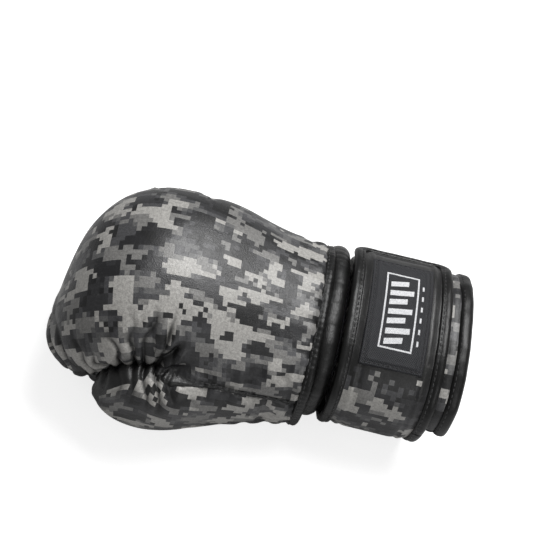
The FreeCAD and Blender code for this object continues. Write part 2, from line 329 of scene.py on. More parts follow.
def flat_pattern(grid, step):
    """Lays a panel out flat with little stretch, as its maker would cut it.
    In metres, with the first axis along the glove."""
    rows = np.unique(np.append(np.arange(0, grid.shape[0], step), grid.shape[0] - 1))
    columns = np.unique(np.append(np.arange(0, grid.shape[1], step), grid.shape[1] - 1))
    coarse = grid[np.ix_(rows, columns)]
    n, m = coarse.shape[:2]
    faces = [(i * m + j, (i + 1) * m + j, (i + 1) * m + j + 1, i * m + j + 1)
             for i in range(n - 1) for j in range(m - 1)]
    mesh = bpy.data.meshes.new("flat_pattern")
    mesh.from_pydata([tuple(v) for v in coarse.reshape(-1, 3) * 10], [], faces)
    mesh.uv_layers.new(name="Flat")
    sheet = bpy.data.objects.new("flat_pattern", mesh)
    bpy.context.scene.collection.objects.link(sheet)
    bpy.context.view_layer.objects.active = sheet
    sheet.select_set(True)
    bpy.ops.object.mode_set(mode="EDIT")
    bpy.ops.mesh.select_all(action="SELECT")
    bpy.ops.uv.unwrap(method="MINIMUM_STRETCH", margin=0.0, iterations=6)
    bpy.ops.object.mode_set(mode="OBJECT")
    flat = np.zeros((n * m, 2))
    loop_vertex = np.empty(len(mesh.loops), np.int32)
    mesh.loops.foreach_get("vertex_index", loop_vertex)
    loop_uv = np.empty(len(mesh.loops) * 2, np.float32)
    mesh.uv_layers["Flat"].data.foreach_get("uv", loop_uv)
    flat[loop_vertex] = loop_uv.reshape(-1, 2)
    flat = flat.reshape(n, m, 2)
    bpy.data.objects.remove(sheet)
    flat *= total_steps(coarse) / total_steps(flat)
    way = (flat[-1] - flat[n // 2]).mean(0)
    turn = -math.atan2(way[1], way[0])
    flat = flat @ np.array([[math.cos(turn), math.sin(turn)], [-math.sin(turn), math.cos(turn)]])
    if (flat[:, -1] - flat[:, 0])[:, 1].mean() < 0:
        flat[..., 1] *= -1
    flat -= flat[-1, m // 2]
    return refine(flat, rows, columns, grid.shape, np.interp)


def mesh_piece(name, verts, faces, uvs, material, smooth_faces=True, fold=None):
    """uvs holds one pair for each vertex; fold, if given, holds one painted-shade value for each vertex."""
    mesh = bpy.data.meshes.new(name)
    mesh.from_pydata([tuple(v) for v in verts], [], faces)
    layer = mesh.uv_layers.new(name="Panel")
    loop_vertex = np.empty(len(mesh.loops), np.int32)
    mesh.loops.foreach_get("vertex_index", loop_vertex)
    layer.data.foreach_set("uv", np.asarray(uvs, np.float32)[loop_vertex].ravel())
    # fold is painted shade: how far the colour is darkened in folds, creases and seam grooves
    if fold is not None:
        shade = mesh.attributes.new("PaintedFoldShade", "FLOAT", "POINT")
        shade.data.foreach_set("value", np.asarray(fold, np.float32).ravel())
    mesh.polygons.foreach_set("use_smooth", [smooth_faces] * len(mesh.polygons))
    mesh.update()
    piece = bpy.data.objects.new(name, mesh)
    bpy.context.scene.collection.objects.link(piece)
    mesh.materials.append(material)
    return piece


def grid_piece(name, grid, material, uv=None, close_u=False, close_v=False, cap=False, flip=False, fold=None):
    rows, columns = grid.shape[:2]
    if uv is None:
        u, v = grid_lengths(grid, columns // 2)
        uv = np.stack([u, v], axis=-1)
    verts = grid.reshape(-1, 3)
    uvs = uv.reshape(-1, 2)
    faces = []
    for i in range(rows if close_u else rows - 1):
        a, b = i * columns, ((i + 1) % rows) * columns
        for j in range(columns if close_v else columns - 1):
            k = (j + 1) % columns
            quad = (a + j, b + j, b + k, a + k)
            faces.append(quad[::-1] if flip else quad)
    if cap:
        first = len(verts)
        verts = np.concatenate([verts, grid[0].mean(0)[None], grid[-1].mean(0)[None]])
        uvs = np.concatenate([uvs, uv[0].mean(0)[None], uv[-1].mean(0)[None]])
        last_row = (rows - 1) * columns
        for j in range(columns if close_v else columns - 1):
            k = (j + 1) % columns
            one, other = (k, j) if flip else (j, k)
            faces.append((first, one, other))
            faces.append((first + 1, last_row + other, last_row + one))
    return mesh_piece(name, verts, faces, uvs, material, fold=fold)


def subdivide(piece):
    modifier = piece.modifiers.new("smooth", "SUBSURF")
    modifier.levels = 1
    modifier.render_levels = 1
    modifier.boundary_smooth = "PRESERVE_CORNERS"
    bpy.context.view_layer.objects.active = piece
    with bpy.context.temp_override(object=piece, active_object=piece, selected_objects=[piece]):
        bpy.ops.object.modifier_apply(modifier=modifier.name)
    return piece


def lift(grid, height):
    return grid + grid_normals(grid) * height[..., None]


def stitch_row(path, outward, length=2.7 * MM, gap=1.1 * MM, radius=0.36 * MM, closed=False):
    """Points of a row of thread stitches lying on a surface: vertices and faces."""
    path = np.asarray(path, float)
    outward = np.asarray(outward, float)
    if closed:
        path = np.concatenate([path, path[:1]])
        outward = np.concatenate([outward, outward[:1]])
    step = np.linalg.norm(np.diff(path, axis=0), axis=1)
    run = np.concatenate([[0], np.cumsum(step)])
    count = max(1, int(run[-1] / (length + gap)))
    pitch = run[-1] / count
    verts, faces = [], []
    sides = 6
    rings = [(0.0, 0.25, -0.6), (0.12, 0.85, 0.0), (0.5, 1.0, 0.45), (0.88, 0.85, 0.0), (1.0, 0.25, -0.6)]
    for i in range(count):
        start = i * pitch + (pitch - length) / 2
        first = len(verts)
        for share, width, rise in rings:
            at = start + share * length
            p = np.array([np.interp(at, run, path[:, k]) for k in range(3)])
            q = np.array([np.interp(at + 0.3 * MM, run, path[:, k]) for k in range(3)])
            n = np.array([np.interp(at, run, outward[:, k]) for k in range(3)])
            n /= np.linalg.norm(n)
            side = np.cross(n, q - p)
            size = np.linalg.norm(side)
            side = side / size if size > 1e-12 else np.array([0, 1.0, 0])
            for s in range(sides):
                turn = 2 * math.pi * s / sides
                verts.append(p + radius * (width * math.cos(turn) * side * 1.15
                                           + (width * math.sin(turn) * 0.8 + rise * 0.7) * n))
        for ring in range(len(rings) - 1):
            a = first + ring * sides
            for s in range(sides):
                k = (s + 1) % sides
                faces.append((a + s, a + sides + s, a + sides + k, a + k))
        faces.append(tuple(range(first, first + sides)))
        end = first + (len(rings) - 1) * sides
        faces.append(tuple(range(end + sides - 1, end - 1, -1)))
    return verts, faces


def stitching(name, rows, material):
    """One piece from several rows of stitches."""
    verts, faces = [], []
    for row_verts, row_faces in rows:
        shift = len(verts)
        verts += row_verts
        faces += [tuple(i + shift for i in face) for face in row_faces]
    uvs = [(v[0], v[1]) for v in verts]
    return mesh_piece(name, verts, faces, uvs, material)


def settle(grid, step, hold, grow):
    """How far stuffed cloth moves when it is sewn at its edges and filled: a cloth simulation on a coarse copy.
    hold is how firmly the padding keeps each point (1 is fixed); grow is the spare cloth that gathers."""
    rows = np.unique(np.append(np.arange(0, grid.shape[0], step), grid.shape[0] - 1))
    columns = np.unique(np.append(np.arange(0, grid.shape[1], step), grid.shape[1] - 1))
    coarse = grid[np.ix_(rows, columns)]
    kept = hold[np.ix_(rows, columns)]
    n, m = coarse.shape[:2]
    faces = [(i * m + j, i * m + j + 1, (i + 1) * m + j + 1, (i + 1) * m + j)
             for i in range(n - 1) for j in range(m - 1)]
    mesh = bpy.data.meshes.new("settling_cloth")
    mesh.from_pydata([tuple(v) for v in coarse.reshape(-1, 3) * CLOTH_SCALE], [], faces)
    mesh.update()
    cloth = bpy.data.objects.new("settling_cloth", mesh)
    bpy.context.scene.collection.objects.link(cloth)
    group = cloth.vertex_groups.new(name="Hold")
    for index, weight in enumerate(kept.ravel()):
        group.add([index], float(weight), "REPLACE")
    modifier = cloth.modifiers.new("cloth", "CLOTH")
    settings = modifier.settings
    settings.quality = 6
    settings.mass = 0.4
    settings.tension_stiffness = 18
    settings.compression_stiffness = 12
    settings.shear_stiffness = 8
    settings.bending_stiffness = 0.35
    settings.vertex_group_mass = "Hold"
    settings.pin_stiffness = 1.0
    settings.shrink_min = -grow
    settings.use_pressure = True
    settings.uniform_pressure_force = CLOTH_PRESSURE
    settings.effector_weights.gravity = 0.0
    modifier.collision_settings.use_self_collision = False
    scene = bpy.context.scene
    for frame_number in range(1, CLOTH_FRAMES + 1):
        scene.frame_set(frame_number)
    shaped = cloth.evaluated_get(bpy.context.evaluated_depsgraph_get())
    moved = np.empty(n * m * 3)
    shaped.data.vertices.foreach_get("co", moved)
    shift = moved.reshape(n, m, 3) / CLOTH_SCALE - coarse
    scene.frame_set(1)
    bpy.data.objects.remove(cloth)
    size = np.linalg.norm(shift, axis=-1, keepdims=True)
    shift = shift * (CLOTH_CAP * np.tanh(size / CLOTH_CAP) / np.maximum(size, 1e-9))
    return refine(shift, rows, columns, grid.shape, soft_interp)


def soft_interp(at, places, values):
    """Interpolation with even slopes, so that a coarse shape leaves no facets on a fine one."""
    slope = np.gradient(values, places)
    index = np.clip(np.searchsorted(places, at, side="right") - 1, 0, len(places) - 2)
    width = (places[index + 1] - places[index]).astype(float)
    t = (at - places[index]) / width
    a, b = values[index], values[index + 1]
    sa, sb = slope[index] * width, slope[index + 1] * width
    return ((2 * t ** 3 - 3 * t ** 2 + 1) * a + (t ** 3 - 2 * t ** 2 + t) * sa
            + (3 * t ** 2 - 2 * t ** 3) * b + (t ** 3 - t ** 2) * sb)


def edge_hold(grid, firm):
    """1 along a panel's four edges, and the given firmness of the padding inside."""
    hold = np.full(grid.shape[:2], firm)
    hold[0] = hold[-1] = 1.0
    hold[:, 0] = hold[:, -1] = 1.0
    return hold


# ---------------------------------------------------------------------------
# Materials
# ---------------------------------------------------------------------------
def rgb(r, g, b):
    def linear(c):
        c /= 255
        return c / 12.92 if c <= 0.04045 else ((c + 0.055) / 1.055) ** 2.4
    return (linear(r), linear(g), linear(b), 1)


class Nodes:
    """Short ways to place and join shader nodes."""

    def __init__(self, tree):
        self.tree = tree

    def add(self, kind, **settings):
        node = self.tree.nodes.new(kind)
        for key, value in settings.items():
            setattr(node, key, value)
        return node

    def join(self, a, b):
        self.tree.links.new(a, b)

    def put(self, socket, value):
        if hasattr(value, "is_linked"):
            self.join(value, socket)
        else:
            socket.default_value = value

    def math(self, operation, a, b=0.0, clamp=False):
        node = self.add("ShaderNodeMath", operation=operation, use_clamp=clamp)
        self.put(node.inputs[0], a)
        self.put(node.inputs[1], b)
        return node.outputs[0]

    def noise(self, vector, scale, detail=2.0, rough=0.5):
        node = self.add("ShaderNodeTexNoise")
        self.join(vector, node.inputs["Vector"])
        node.inputs["Scale"].default_value = scale
        node.inputs["Detail"].default_value = detail
        node.inputs["Roughness"].default_value = rough
        return node.outputs["Fac"]

    def ramp(self, factor, stops, constant=False):
        node = self.add("ShaderNodeValToRGB")
        ramp = node.color_ramp
        ramp.interpolation = "CONSTANT" if constant else "LINEAR"
        while len(ramp.elements) < len(stops):
            ramp.elements.new(0.5)
        for element, (place, colour) in zip(ramp.elements, stops):
            element.position = place
            element.color = colour
        self.join(factor, node.inputs["Fac"])
        return node.outputs["Color"]

    def mix(self, factor, a, b, how="MIX"):
        node = self.add("ShaderNodeMix", data_type="RGBA", blend_type=how)
        self.put(node.inputs[0], factor)
        self.put(node.inputs[6], a)
        self.put(node.inputs[7], b)
        return node.outputs[2]

    def bump(self, height, distance, strength):
        node = self.add("ShaderNodeBump")
        node.inputs["Distance"].default_value = distance
        node.inputs["Strength"].default_value = strength
        self.join(height, node.inputs["Height"])
        return node.outputs["Normal"]


def node_group(name, inputs, outputs):
    group = bpy.data.node_groups.new(name, "ShaderNodeTree")
    for label, kind, default in inputs:
        socket = group.interface.new_socket(name=label, in_out="INPUT", socket_type=kind)
        if default is not None:
            socket.default_value = default
    for label, kind in outputs:
        group.interface.new_socket(name=label, in_out="OUTPUT", socket_type=kind)
    nodes = Nodes(group)
    return group, nodes, nodes.add("NodeGroupInput"), nodes.add("NodeGroupOutput")


def leather_grain_group():
    """Fine pebbled grain, hairline creases and patchy shine, from surface distances in metres."""
    group, n, given, out = node_group(
        "leather_grain",
        [("Place", "NodeSocketVector", None), ("Depth", "NodeSocketFloat", 1.0)],
        [("Normal", "NodeSocketVector"), ("Shine", "NodeSocketFloat"), ("Worn", "NodeSocketFloat")])
    place = given.outputs["Place"]
    cells = n.add("ShaderNodeTexVoronoi", feature="DISTANCE_TO_EDGE")
    n.join(place, cells.inputs["Vector"])
    cells.inputs["Scale"].default_value = 950
    pebble = n.math("MULTIPLY", cells.outputs["Distance"], 2.2, clamp=True)
    fine = n.noise(place, 2600, 3, 0.6)
    broad = n.noise(place, 160, 3, 0.6)
    soft = n.noise(place, 34, 2, 0.5)
    height = n.math("ADD", n.math("MULTIPLY", pebble, 0.5), n.math("MULTIPLY", fine, 0.4))
    height = n.math("ADD", height, n.math("MULTIPLY", broad, 1.6))
    height = n.math("MULTIPLY", height, given.outputs["Depth"])
    n.join(n.bump(height, 0.00022, 0.9), out.inputs["Normal"])
    shine = n.math("ADD", n.math("MULTIPLY", broad, 0.5), n.math("MULTIPLY", soft, 0.5))
    n.join(shine, out.inputs["Shine"])
    worn = n.math("MULTIPLY", n.math("SUBTRACT", n.noise(place, 320, 4, 0.75), 0.56), 7.0, clamp=True)
    patchy = n.math("MULTIPLY", n.math("SUBTRACT", soft, 0.45), 5.0, clamp=True)
    worn = n.math("MULTIPLY", worn, patchy, clamp=True)
    n.join(worn, out.inputs["Worn"])
    return group


def weave_group():
    """Over-and-under threads with fuzz, from surface distances in metres."""
    group, n, given, out = node_group(
        "cloth_weave",
        [("Place", "NodeSocketVector", None), ("Threads", "NodeSocketFloat", 1400.0)],
        [("Normal", "NodeSocketVector"), ("Shade", "NodeSocketFloat")])
    part = n.add("ShaderNodeSeparateXYZ")
    n.join(given.outputs["Place"], part.inputs[0])
    across = n.math("SINE", n.math("MULTIPLY", part.outputs[0], given.outputs["Threads"]))
    along = n.math("SINE", n.math("MULTIPLY", part.outputs[1], given.outputs["Threads"]))
    woven = n.math("MULTIPLY", across, along)
    fuzz = n.noise(given.outputs["Place"], 1500, 3, 0.7)
    height = n.math("ADD", n.math("MULTIPLY", woven, 0.5), n.math("MULTIPLY", fuzz, 0.8))
    n.join(n.bump(height, 0.0004, 0.8), out.inputs["Normal"])
    shade = n.math("MULTIPLY", n.math("ADD", n.math("MULTIPLY", woven, 0.25), fuzz), 1.0, clamp=True)
    n.join(shade, out.inputs["Shade"])
    return group


def camo_group():
    """Stair-stepped blocks of greys on a square grid: dark, light and black patches laid over a middle grey."""
    group, n, given, out = node_group(
        "block_camo",
        [("Place", "NodeSocketVector", None), ("Cell", "NodeSocketFloat", CAMO_CELL),
         ("Shift", "NodeSocketFloat", 0.0)],
        [("Color", "NodeSocketColor"), ("Snapped", "NodeSocketVector"), ("Luck", "NodeSocketFloat")])
    size = n.add("ShaderNodeCombineXYZ")
    for i in range(3):
        n.join(given.outputs["Cell"], size.inputs[i])
    snap = n.add("ShaderNodeVectorMath", operation="SNAP")
    n.join(given.outputs["Place"], snap.inputs[0])
    n.join(size.outputs[0], snap.inputs[1])
    luck = n.add("ShaderNodeTexWhiteNoise", noise_dimensions="3D")
    n.join(snap.outputs[0], luck.inputs["Vector"])
    ragged = n.math("MULTIPLY", n.math("SUBTRACT", luck.outputs["Value"], 0.5), 0.035)
    shift = n.add("ShaderNodeCombineXYZ")
    n.join(given.outputs["Shift"], shift.inputs[2])

    def patches(offset, scale):
        stretched = n.add("ShaderNodeVectorMath", operation="MULTIPLY")
        n.join(snap.outputs[0], stretched.inputs[0])
        stretched.inputs[1].default_value = (0.72, 1.12, 1.0)
        moved = n.add("ShaderNodeVectorMath", operation="ADD")
        n.join(stretched.outputs[0], moved.inputs[0])
        n.join(shift.outputs[0], moved.inputs[1])
        again = n.add("ShaderNodeVectorMath", operation="ADD")
        n.join(moved.outputs[0], again.inputs[0])
        again.inputs[1].default_value = offset
        return n.math("ADD", n.noise(again.outputs[0], scale, 1.6, 0.55), ragged)

    colour = n.ramp(patches((0.0, 0.0, 0.11), 58), [
        (0.0, rgb(44, 44, 46)), (0.45, rgb(68, 68, 70)),
        (0.52, rgb(92, 92, 92)), (0.59, rgb(70, 70, 72))], constant=True)
    dark = patches((0.13, 0.07, 0.42), 66)
    colour = n.mix(n.math("GREATER_THAN", dark, 0.545), colour, rgb(30, 30, 32))
    middle = patches((0.31, 0.22, 0.77), 78)
    colour = n.mix(n.math("GREATER_THAN", middle, 0.56), colour, rgb(120, 119, 117))
    light = patches((0.57, 0.41, 1.13), 64)
    colour = n.mix(n.math("GREATER_THAN", light, 0.56), colour, rgb(166, 164, 160))
    black = patches((0.83, 0.66, 1.71), 84)
    colour = n.mix(n.math("GREATER_THAN", black, 0.60), colour, rgb(22, 22, 23))
    n.join(colour, out.inputs["Color"])
    n.join(snap.outputs[0], out.inputs["Snapped"])
    n.join(luck.outputs["Value"], out.inputs["Luck"])
    return group


GRAIN = leather_grain_group()
WEAVE = weave_group()
CAMO = camo_group()


def new_material(name):
    material = bpy.data.materials.new(name)
    material.use_nodes = True
    tree = material.node_tree
    tree.nodes.clear()
    n = Nodes(tree)
    shader = n.add("ShaderNodeBsdfPrincipled")
    out = n.add("ShaderNodeOutputMaterial")
    n.join(shader.outputs[0], out.inputs[0])
    return material, n, shader


def panel_place(n):
    return n.add("ShaderNodeUVMap", uv_map="Panel").outputs[0]


def use_group(n, group, **values):
    node = n.add("ShaderNodeGroup")
    node.node_tree = group
    for key, value in values.items():
        n.put(node.inputs[key], value)
    return node


def leather_material(name, low, high, rough=0.42, grain=1.0, coat=0.15):
    """Plain dyed leather; the colour wanders between two close shades."""
    material, n, shader = new_material(name)
    place = panel_place(n)
    grain_node = use_group(n, GRAIN, Place=place, Depth=grain)
    colour = n.ramp(grain_node.outputs["Shine"], [(0.35, low), (0.65, high)])
    scuff = n.math("MULTIPLY", grain_node.outputs["Worn"], 0.06)
    colour = n.mix(scuff, colour, tuple(min(1, c * 2.2 + 0.01) for c in high[:3]) + (1,))
    n.join(colour, shader.inputs["Base Color"])
    roughness = n.math("ADD", n.math("MULTIPLY", grain_node.outputs["Shine"], 0.22), rough - 0.11)
    n.join(roughness, shader.inputs["Roughness"])
    shader.inputs["Specular IOR Level"].default_value = 0.34
    shader.inputs["Coat Weight"].default_value = coat
    shader.inputs["Coat Roughness"].default_value = 0.35
    n.join(grain_node.outputs["Normal"], shader.inputs["Normal"])
    return material


def camo_material(name, black_along=None, shift=0.0, cell=CAMO_CELL):
    """Satin printed leather. black_along gives a mask where the print turns to plain black."""
    material, n, shader = new_material(name)
    place = panel_place(n)
    camo = use_group(n, CAMO, Place=place, Cell=cell, Shift=shift)
    grain_node = use_group(n, GRAIN, Place=place, Depth=0.8)
    colour = camo.outputs["Color"]
    fold = n.add("ShaderNodeAttribute", attribute_type="GEOMETRY", attribute_name="PaintedFoldShade").outputs["Fac"]
    if black_along is not None:
        mask = black_along(n, camo.outputs["Snapped"], camo.outputs["Luck"])
        colour = n.mix(mask, colour, rgb(25, 25, 25))
    speckle = n.noise(place, 1800, 2, 0.7)
    shade = n.ramp(speckle, [(0.3, (0.84, 0.84, 0.84, 1)), (0.7, (1.08, 1.08, 1.08, 1))])
    colour = n.mix(1.0, colour, shade, "MULTIPLY")
    pores = n.noise(place, 620, 2, 0.8)
    shade = n.ramp(pores, [(0.36, (0.74, 0.74, 0.74, 1)), (0.64, (1.16, 1.16, 1.16, 1))])
    colour = n.mix(1.0, colour, shade, "MULTIPLY")
    colour = n.mix(n.math("MULTIPLY", grain_node.outputs["Worn"], 0.10), colour, rgb(176, 174, 170))
    # painted shade: the fold attribute darkens the colour towards near-black in folds, creases, seam grooves
    # and tucked edges
    colour = n.mix(fold, colour, rgb(12, 12, 12))
    n.join(colour, shader.inputs["Base Color"])
    roughness = n.math("ADD", n.math("MULTIPLY", grain_node.outputs["Shine"], 0.25), 0.28)
    n.join(roughness, shader.inputs["Roughness"])
    shader.inputs["Specular IOR Level"].default_value = 0.5
    shader.inputs["Coat Weight"].default_value = 0.06
    shader.inputs["Coat Roughness"].default_value = 0.3
    n.join(grain_node.outputs["Normal"], shader.inputs["Normal"])
    return material


def cloth_material(name, low, high, threads=1400.0, rough=0.85, sheen=0.3):
    material, n, shader = new_material(name)
    weave = use_group(n, WEAVE, Place=panel_place(n), Threads=threads)
    n.join(n.ramp(weave.outputs["Shade"], [(0.3, low), (0.75, high)]), shader.inputs["Base Color"])
    shader.inputs["Roughness"].default_value = rough
    shader.inputs["Sheen Weight"].default_value = sheen
    n.join(weave.outputs["Normal"], shader.inputs["Normal"])
    return material


def fade_mask(axis, start, end, jitter=0.35):
    """A stepped change from print to black between two surface distances."""
    def build(n, snapped, luck):
        part = n.add("ShaderNodeSeparateXYZ")
        n.join(snapped, part.inputs[0])
        value = n.math("DIVIDE", n.math("SUBTRACT", part.outputs[axis], start), end - start)
        value = n.math("MINIMUM", n.math("MAXIMUM", value, -1.5), 2.5)
        value = n.math("ADD", value, n.math("MULTIPLY", n.math("SUBTRACT", luck, 0.5), jitter * 2))
        patchy = n.noise(snapped, 60, 1.0, 0.5)
        value = n.math("ADD", value, n.math("MULTIPLY", n.math("SUBTRACT", patchy, 0.5), 1.6))
        return n.math("GREATER_THAN", value, 0.5)
    return build


def round_mask(centre, reach):
    """Black within an oval of the flat pattern, with a stepped edge."""
    def build(n, snapped, luck):
        part = n.add("ShaderNodeSeparateXYZ")
        n.join(snapped, part.inputs[0])
        along = n.math("DIVIDE", n.math("SUBTRACT", part.outputs[0], centre[0]), reach[0])
        across = n.math("DIVIDE", n.math("SUBTRACT", part.outputs[1], centre[1]), reach[1])
        square = n.math("ADD", n.math("MULTIPLY", along, along), n.math("MULTIPLY", across, across))
        far = n.math("SQRT", square)
        far = n.math("ADD", far, n.math("MULTIPLY", n.math("SUBTRACT", luck, 0.5), 0.4))
        patchy = n.math("SUBTRACT", n.noise(snapped, 60, 1.0, 0.5), 0.5)
        far = n.math("ADD", far, n.math("MULTIPLY", patchy, 1.2))
        return n.math("LESS_THAN", far, 1.0)
    return build


def middle_mask(n, snapped, luck):
    """The cuff is black over the back of the wrist and printed round its ends."""
    part = n.add("ShaderNodeSeparateXYZ")
    n.join(snapped, part.inputs[0])
    off = n.math("ABSOLUTE", n.math("SUBTRACT", part.outputs[1], 58 * MM))
    patchy = n.math("SUBTRACT", n.noise(snapped, 60, 1.0, 0.5), 0.5)
    off = n.math("ADD", off, n.math("MULTIPLY", patchy, 50 * MM))
    return n.math("LESS_THAN", off, 38 * MM)


CAMO_LEATHER = camo_material("camo_leather")
STRAP_FADE = fade_mask(1, 122 * MM, 96 * MM)
STRAP_LEATHER = camo_material("strap_leather_printed", STRAP_FADE, shift=0.57, cell=WRIST_CAMO_CELL)
CUFF_LEATHER = camo_material("cuff_leather_printed", middle_mask, shift=0.83, cell=WRIST_CAMO_CELL)
BLACK_LEATHER = leather_material("black_leather", rgb(14, 14, 14), rgb(22, 22, 22), 0.36)
BINDING_LEATHER = leather_material("binding_leather", rgb(9, 9, 9), rgb(15, 15, 15), 0.38, 0.6, 0.08)
LINING = cloth_material("lining_cloth", rgb(38, 38, 41), rgb(66, 66, 70))
WEBBING = cloth_material("webbing", rgb(34, 34, 34), rgb(58, 58, 58), 2200.0)
ELASTIC = cloth_material("elastic_web", rgb(30, 30, 31), rgb(58, 58, 60), 3000.0)
LOOP_PILE = cloth_material("loop_pile", rgb(22, 22, 23), rgb(60, 60, 62), 5000.0, 0.95, 0.6)
HOOK_TAPE = cloth_material("hook_tape", rgb(20, 20, 20), rgb(48, 48, 48), 6200.0, 0.5, 0.0)
PATCH_SATIN = cloth_material("patch_satin", rgb(21, 22, 26), rgb(32, 33, 38), 4200.0, 0.55, 0.03)
THREAD = cloth_material("thread", rgb(26, 26, 27), rgb(60, 60, 61), 9000.0, 0.6, 0.1)
PALE_THREAD = cloth_material("patch_thread", rgb(16, 16, 17), rgb(34, 34, 36), 9000.0, 0.6, 0.1)


def print_material():
    material, n, shader = new_material("emblem_print")
    place = panel_place(n)
    flake = n.noise(place, 900, 3, 0.7)
    colour = n.ramp(flake, [(0.35, rgb(196, 197, 200)), (0.6, rgb(228, 228, 230))])
    n.join(colour, shader.inputs["Base Color"])
    shader.inputs["Roughness"].default_value = 0.45
    weave = use_group(n, WEAVE, Place=place, Threads=4200.0)
    n.join(weave.outputs["Normal"], shader.inputs["Normal"])
    return material


EMBLEM_PRINT = print_material()


# ---------------------------------------------------------------------------
# Hand: back cover, palm and finger covers
# ---------------------------------------------------------------------------
def points_round(x, turn, r, outline):
    """Points at the given turns and reaches about an outline's middle."""
    mid_y, mid_z = middle_of(outline)
    y, z = mid_y + r * np.cos(turn), mid_z + r * np.sin(turn)
    return np.stack([np.broadcast_to(x, turn.shape), y, z], axis=-1)


def ring_points(x, turn, r):
    return points_round(x, turn, r, fist_outline(x))


def back_reach(x, turn):
    """The back cover's own shape: the fist with the thumb's bed in front, the joined outline behind."""
    free = soft_min(section_reach(turn, fist_outline(x)), bed_reach(x, turn) - 1.2 * MM, 3 * MM)
    joined = joined_reach(x, turn)
    beyond = (turn - seam_turn(x)) * joined
    joined = joined - 7 * MM * smooth(beyond, 0.5 * MM, 9 * MM)
    blend = smooth(x, -70 * MM, -50 * MM)
    return free + (joined - free) * blend


def pleats(x, beside, points, centre, fan, pitch, reach):
    """Gathers that fan out from a crease: height from -0.6 to 0.4, and painted shade for how deep in a fold
    each point lies.
    The fold lines start evenly along the crease and spread from a centre that lies fan beyond it."""
    start = (x - centre) * fan / (np.clip(beside, 0, 1) + fan)
    start = start - 0.5 * np.minimum(start + 22 * MM, 0)
    uneven = 0.30 * ripple(points, 30 * MM, 11) + 0.12 * ripple(points, 12 * MM, 14)
    wave = np.abs(np.sin(math.pi * (start / pitch + uneven)))
    strength = smooth(beside, reach, 0.18 * reach) * (0.85 + 0.25 * ripple(points, 26 * MM, 12))
    strength = np.clip(strength, 0, 1.2)
    # painted shade: darkest in the valleys of the gathers
    dark = np.exp(-(wave / 0.44) ** 2) * np.clip(strength * 1.7, 0, 1)
    return (wave ** 0.7 - 0.55) * strength, dark


def edge_roll(distance, depth=2.2 * MM, width=3.2 * MM):
    """Padding rolls a cover down into its seams."""
    return -depth * np.exp(-np.clip(distance, 0, 1) / width)


def seam_pucker(distance, along, depth=0.18 * MM, width=5 * MM):
    """Small dents beside a seam, one at each stitch."""
    return -depth * np.exp(-np.clip(distance, 0, 1) / width) * np.cos(2 * math.pi * along / STITCH_PITCH)


def crease_line(points, start, end, depth, width, bow=0.0):
    """A fold pressed along a slightly bowed line on the surface."""
    start, end = np.array(start) * MM, np.array(end) * MM
    way = end - start
    length = np.linalg.norm(way)
    way /= length
    rel = points - start
    along = rel @ way
    share = np.clip(along / length, 0, 1)
    side_way = np.cross(way, np.array([0, 0.4, 0.9]))
    side_way /= np.linalg.norm(side_way)
    offset = rel - along[..., None] * way - (bow * MM * 4 * share * (1 - share))[..., None] * side_way
    gap = np.linalg.norm(offset, axis=-1)
    fade = smooth(along, -0.1 * length, 0.12 * length) * smooth(along, 1.15 * length, 0.8 * length)
    groove = -np.exp(-(gap / (width * MM)) ** 2) + 0.45 * np.exp(-((gap / (width * MM) - 2.0) / 1.0) ** 2)
    return depth * MM * groove * fade


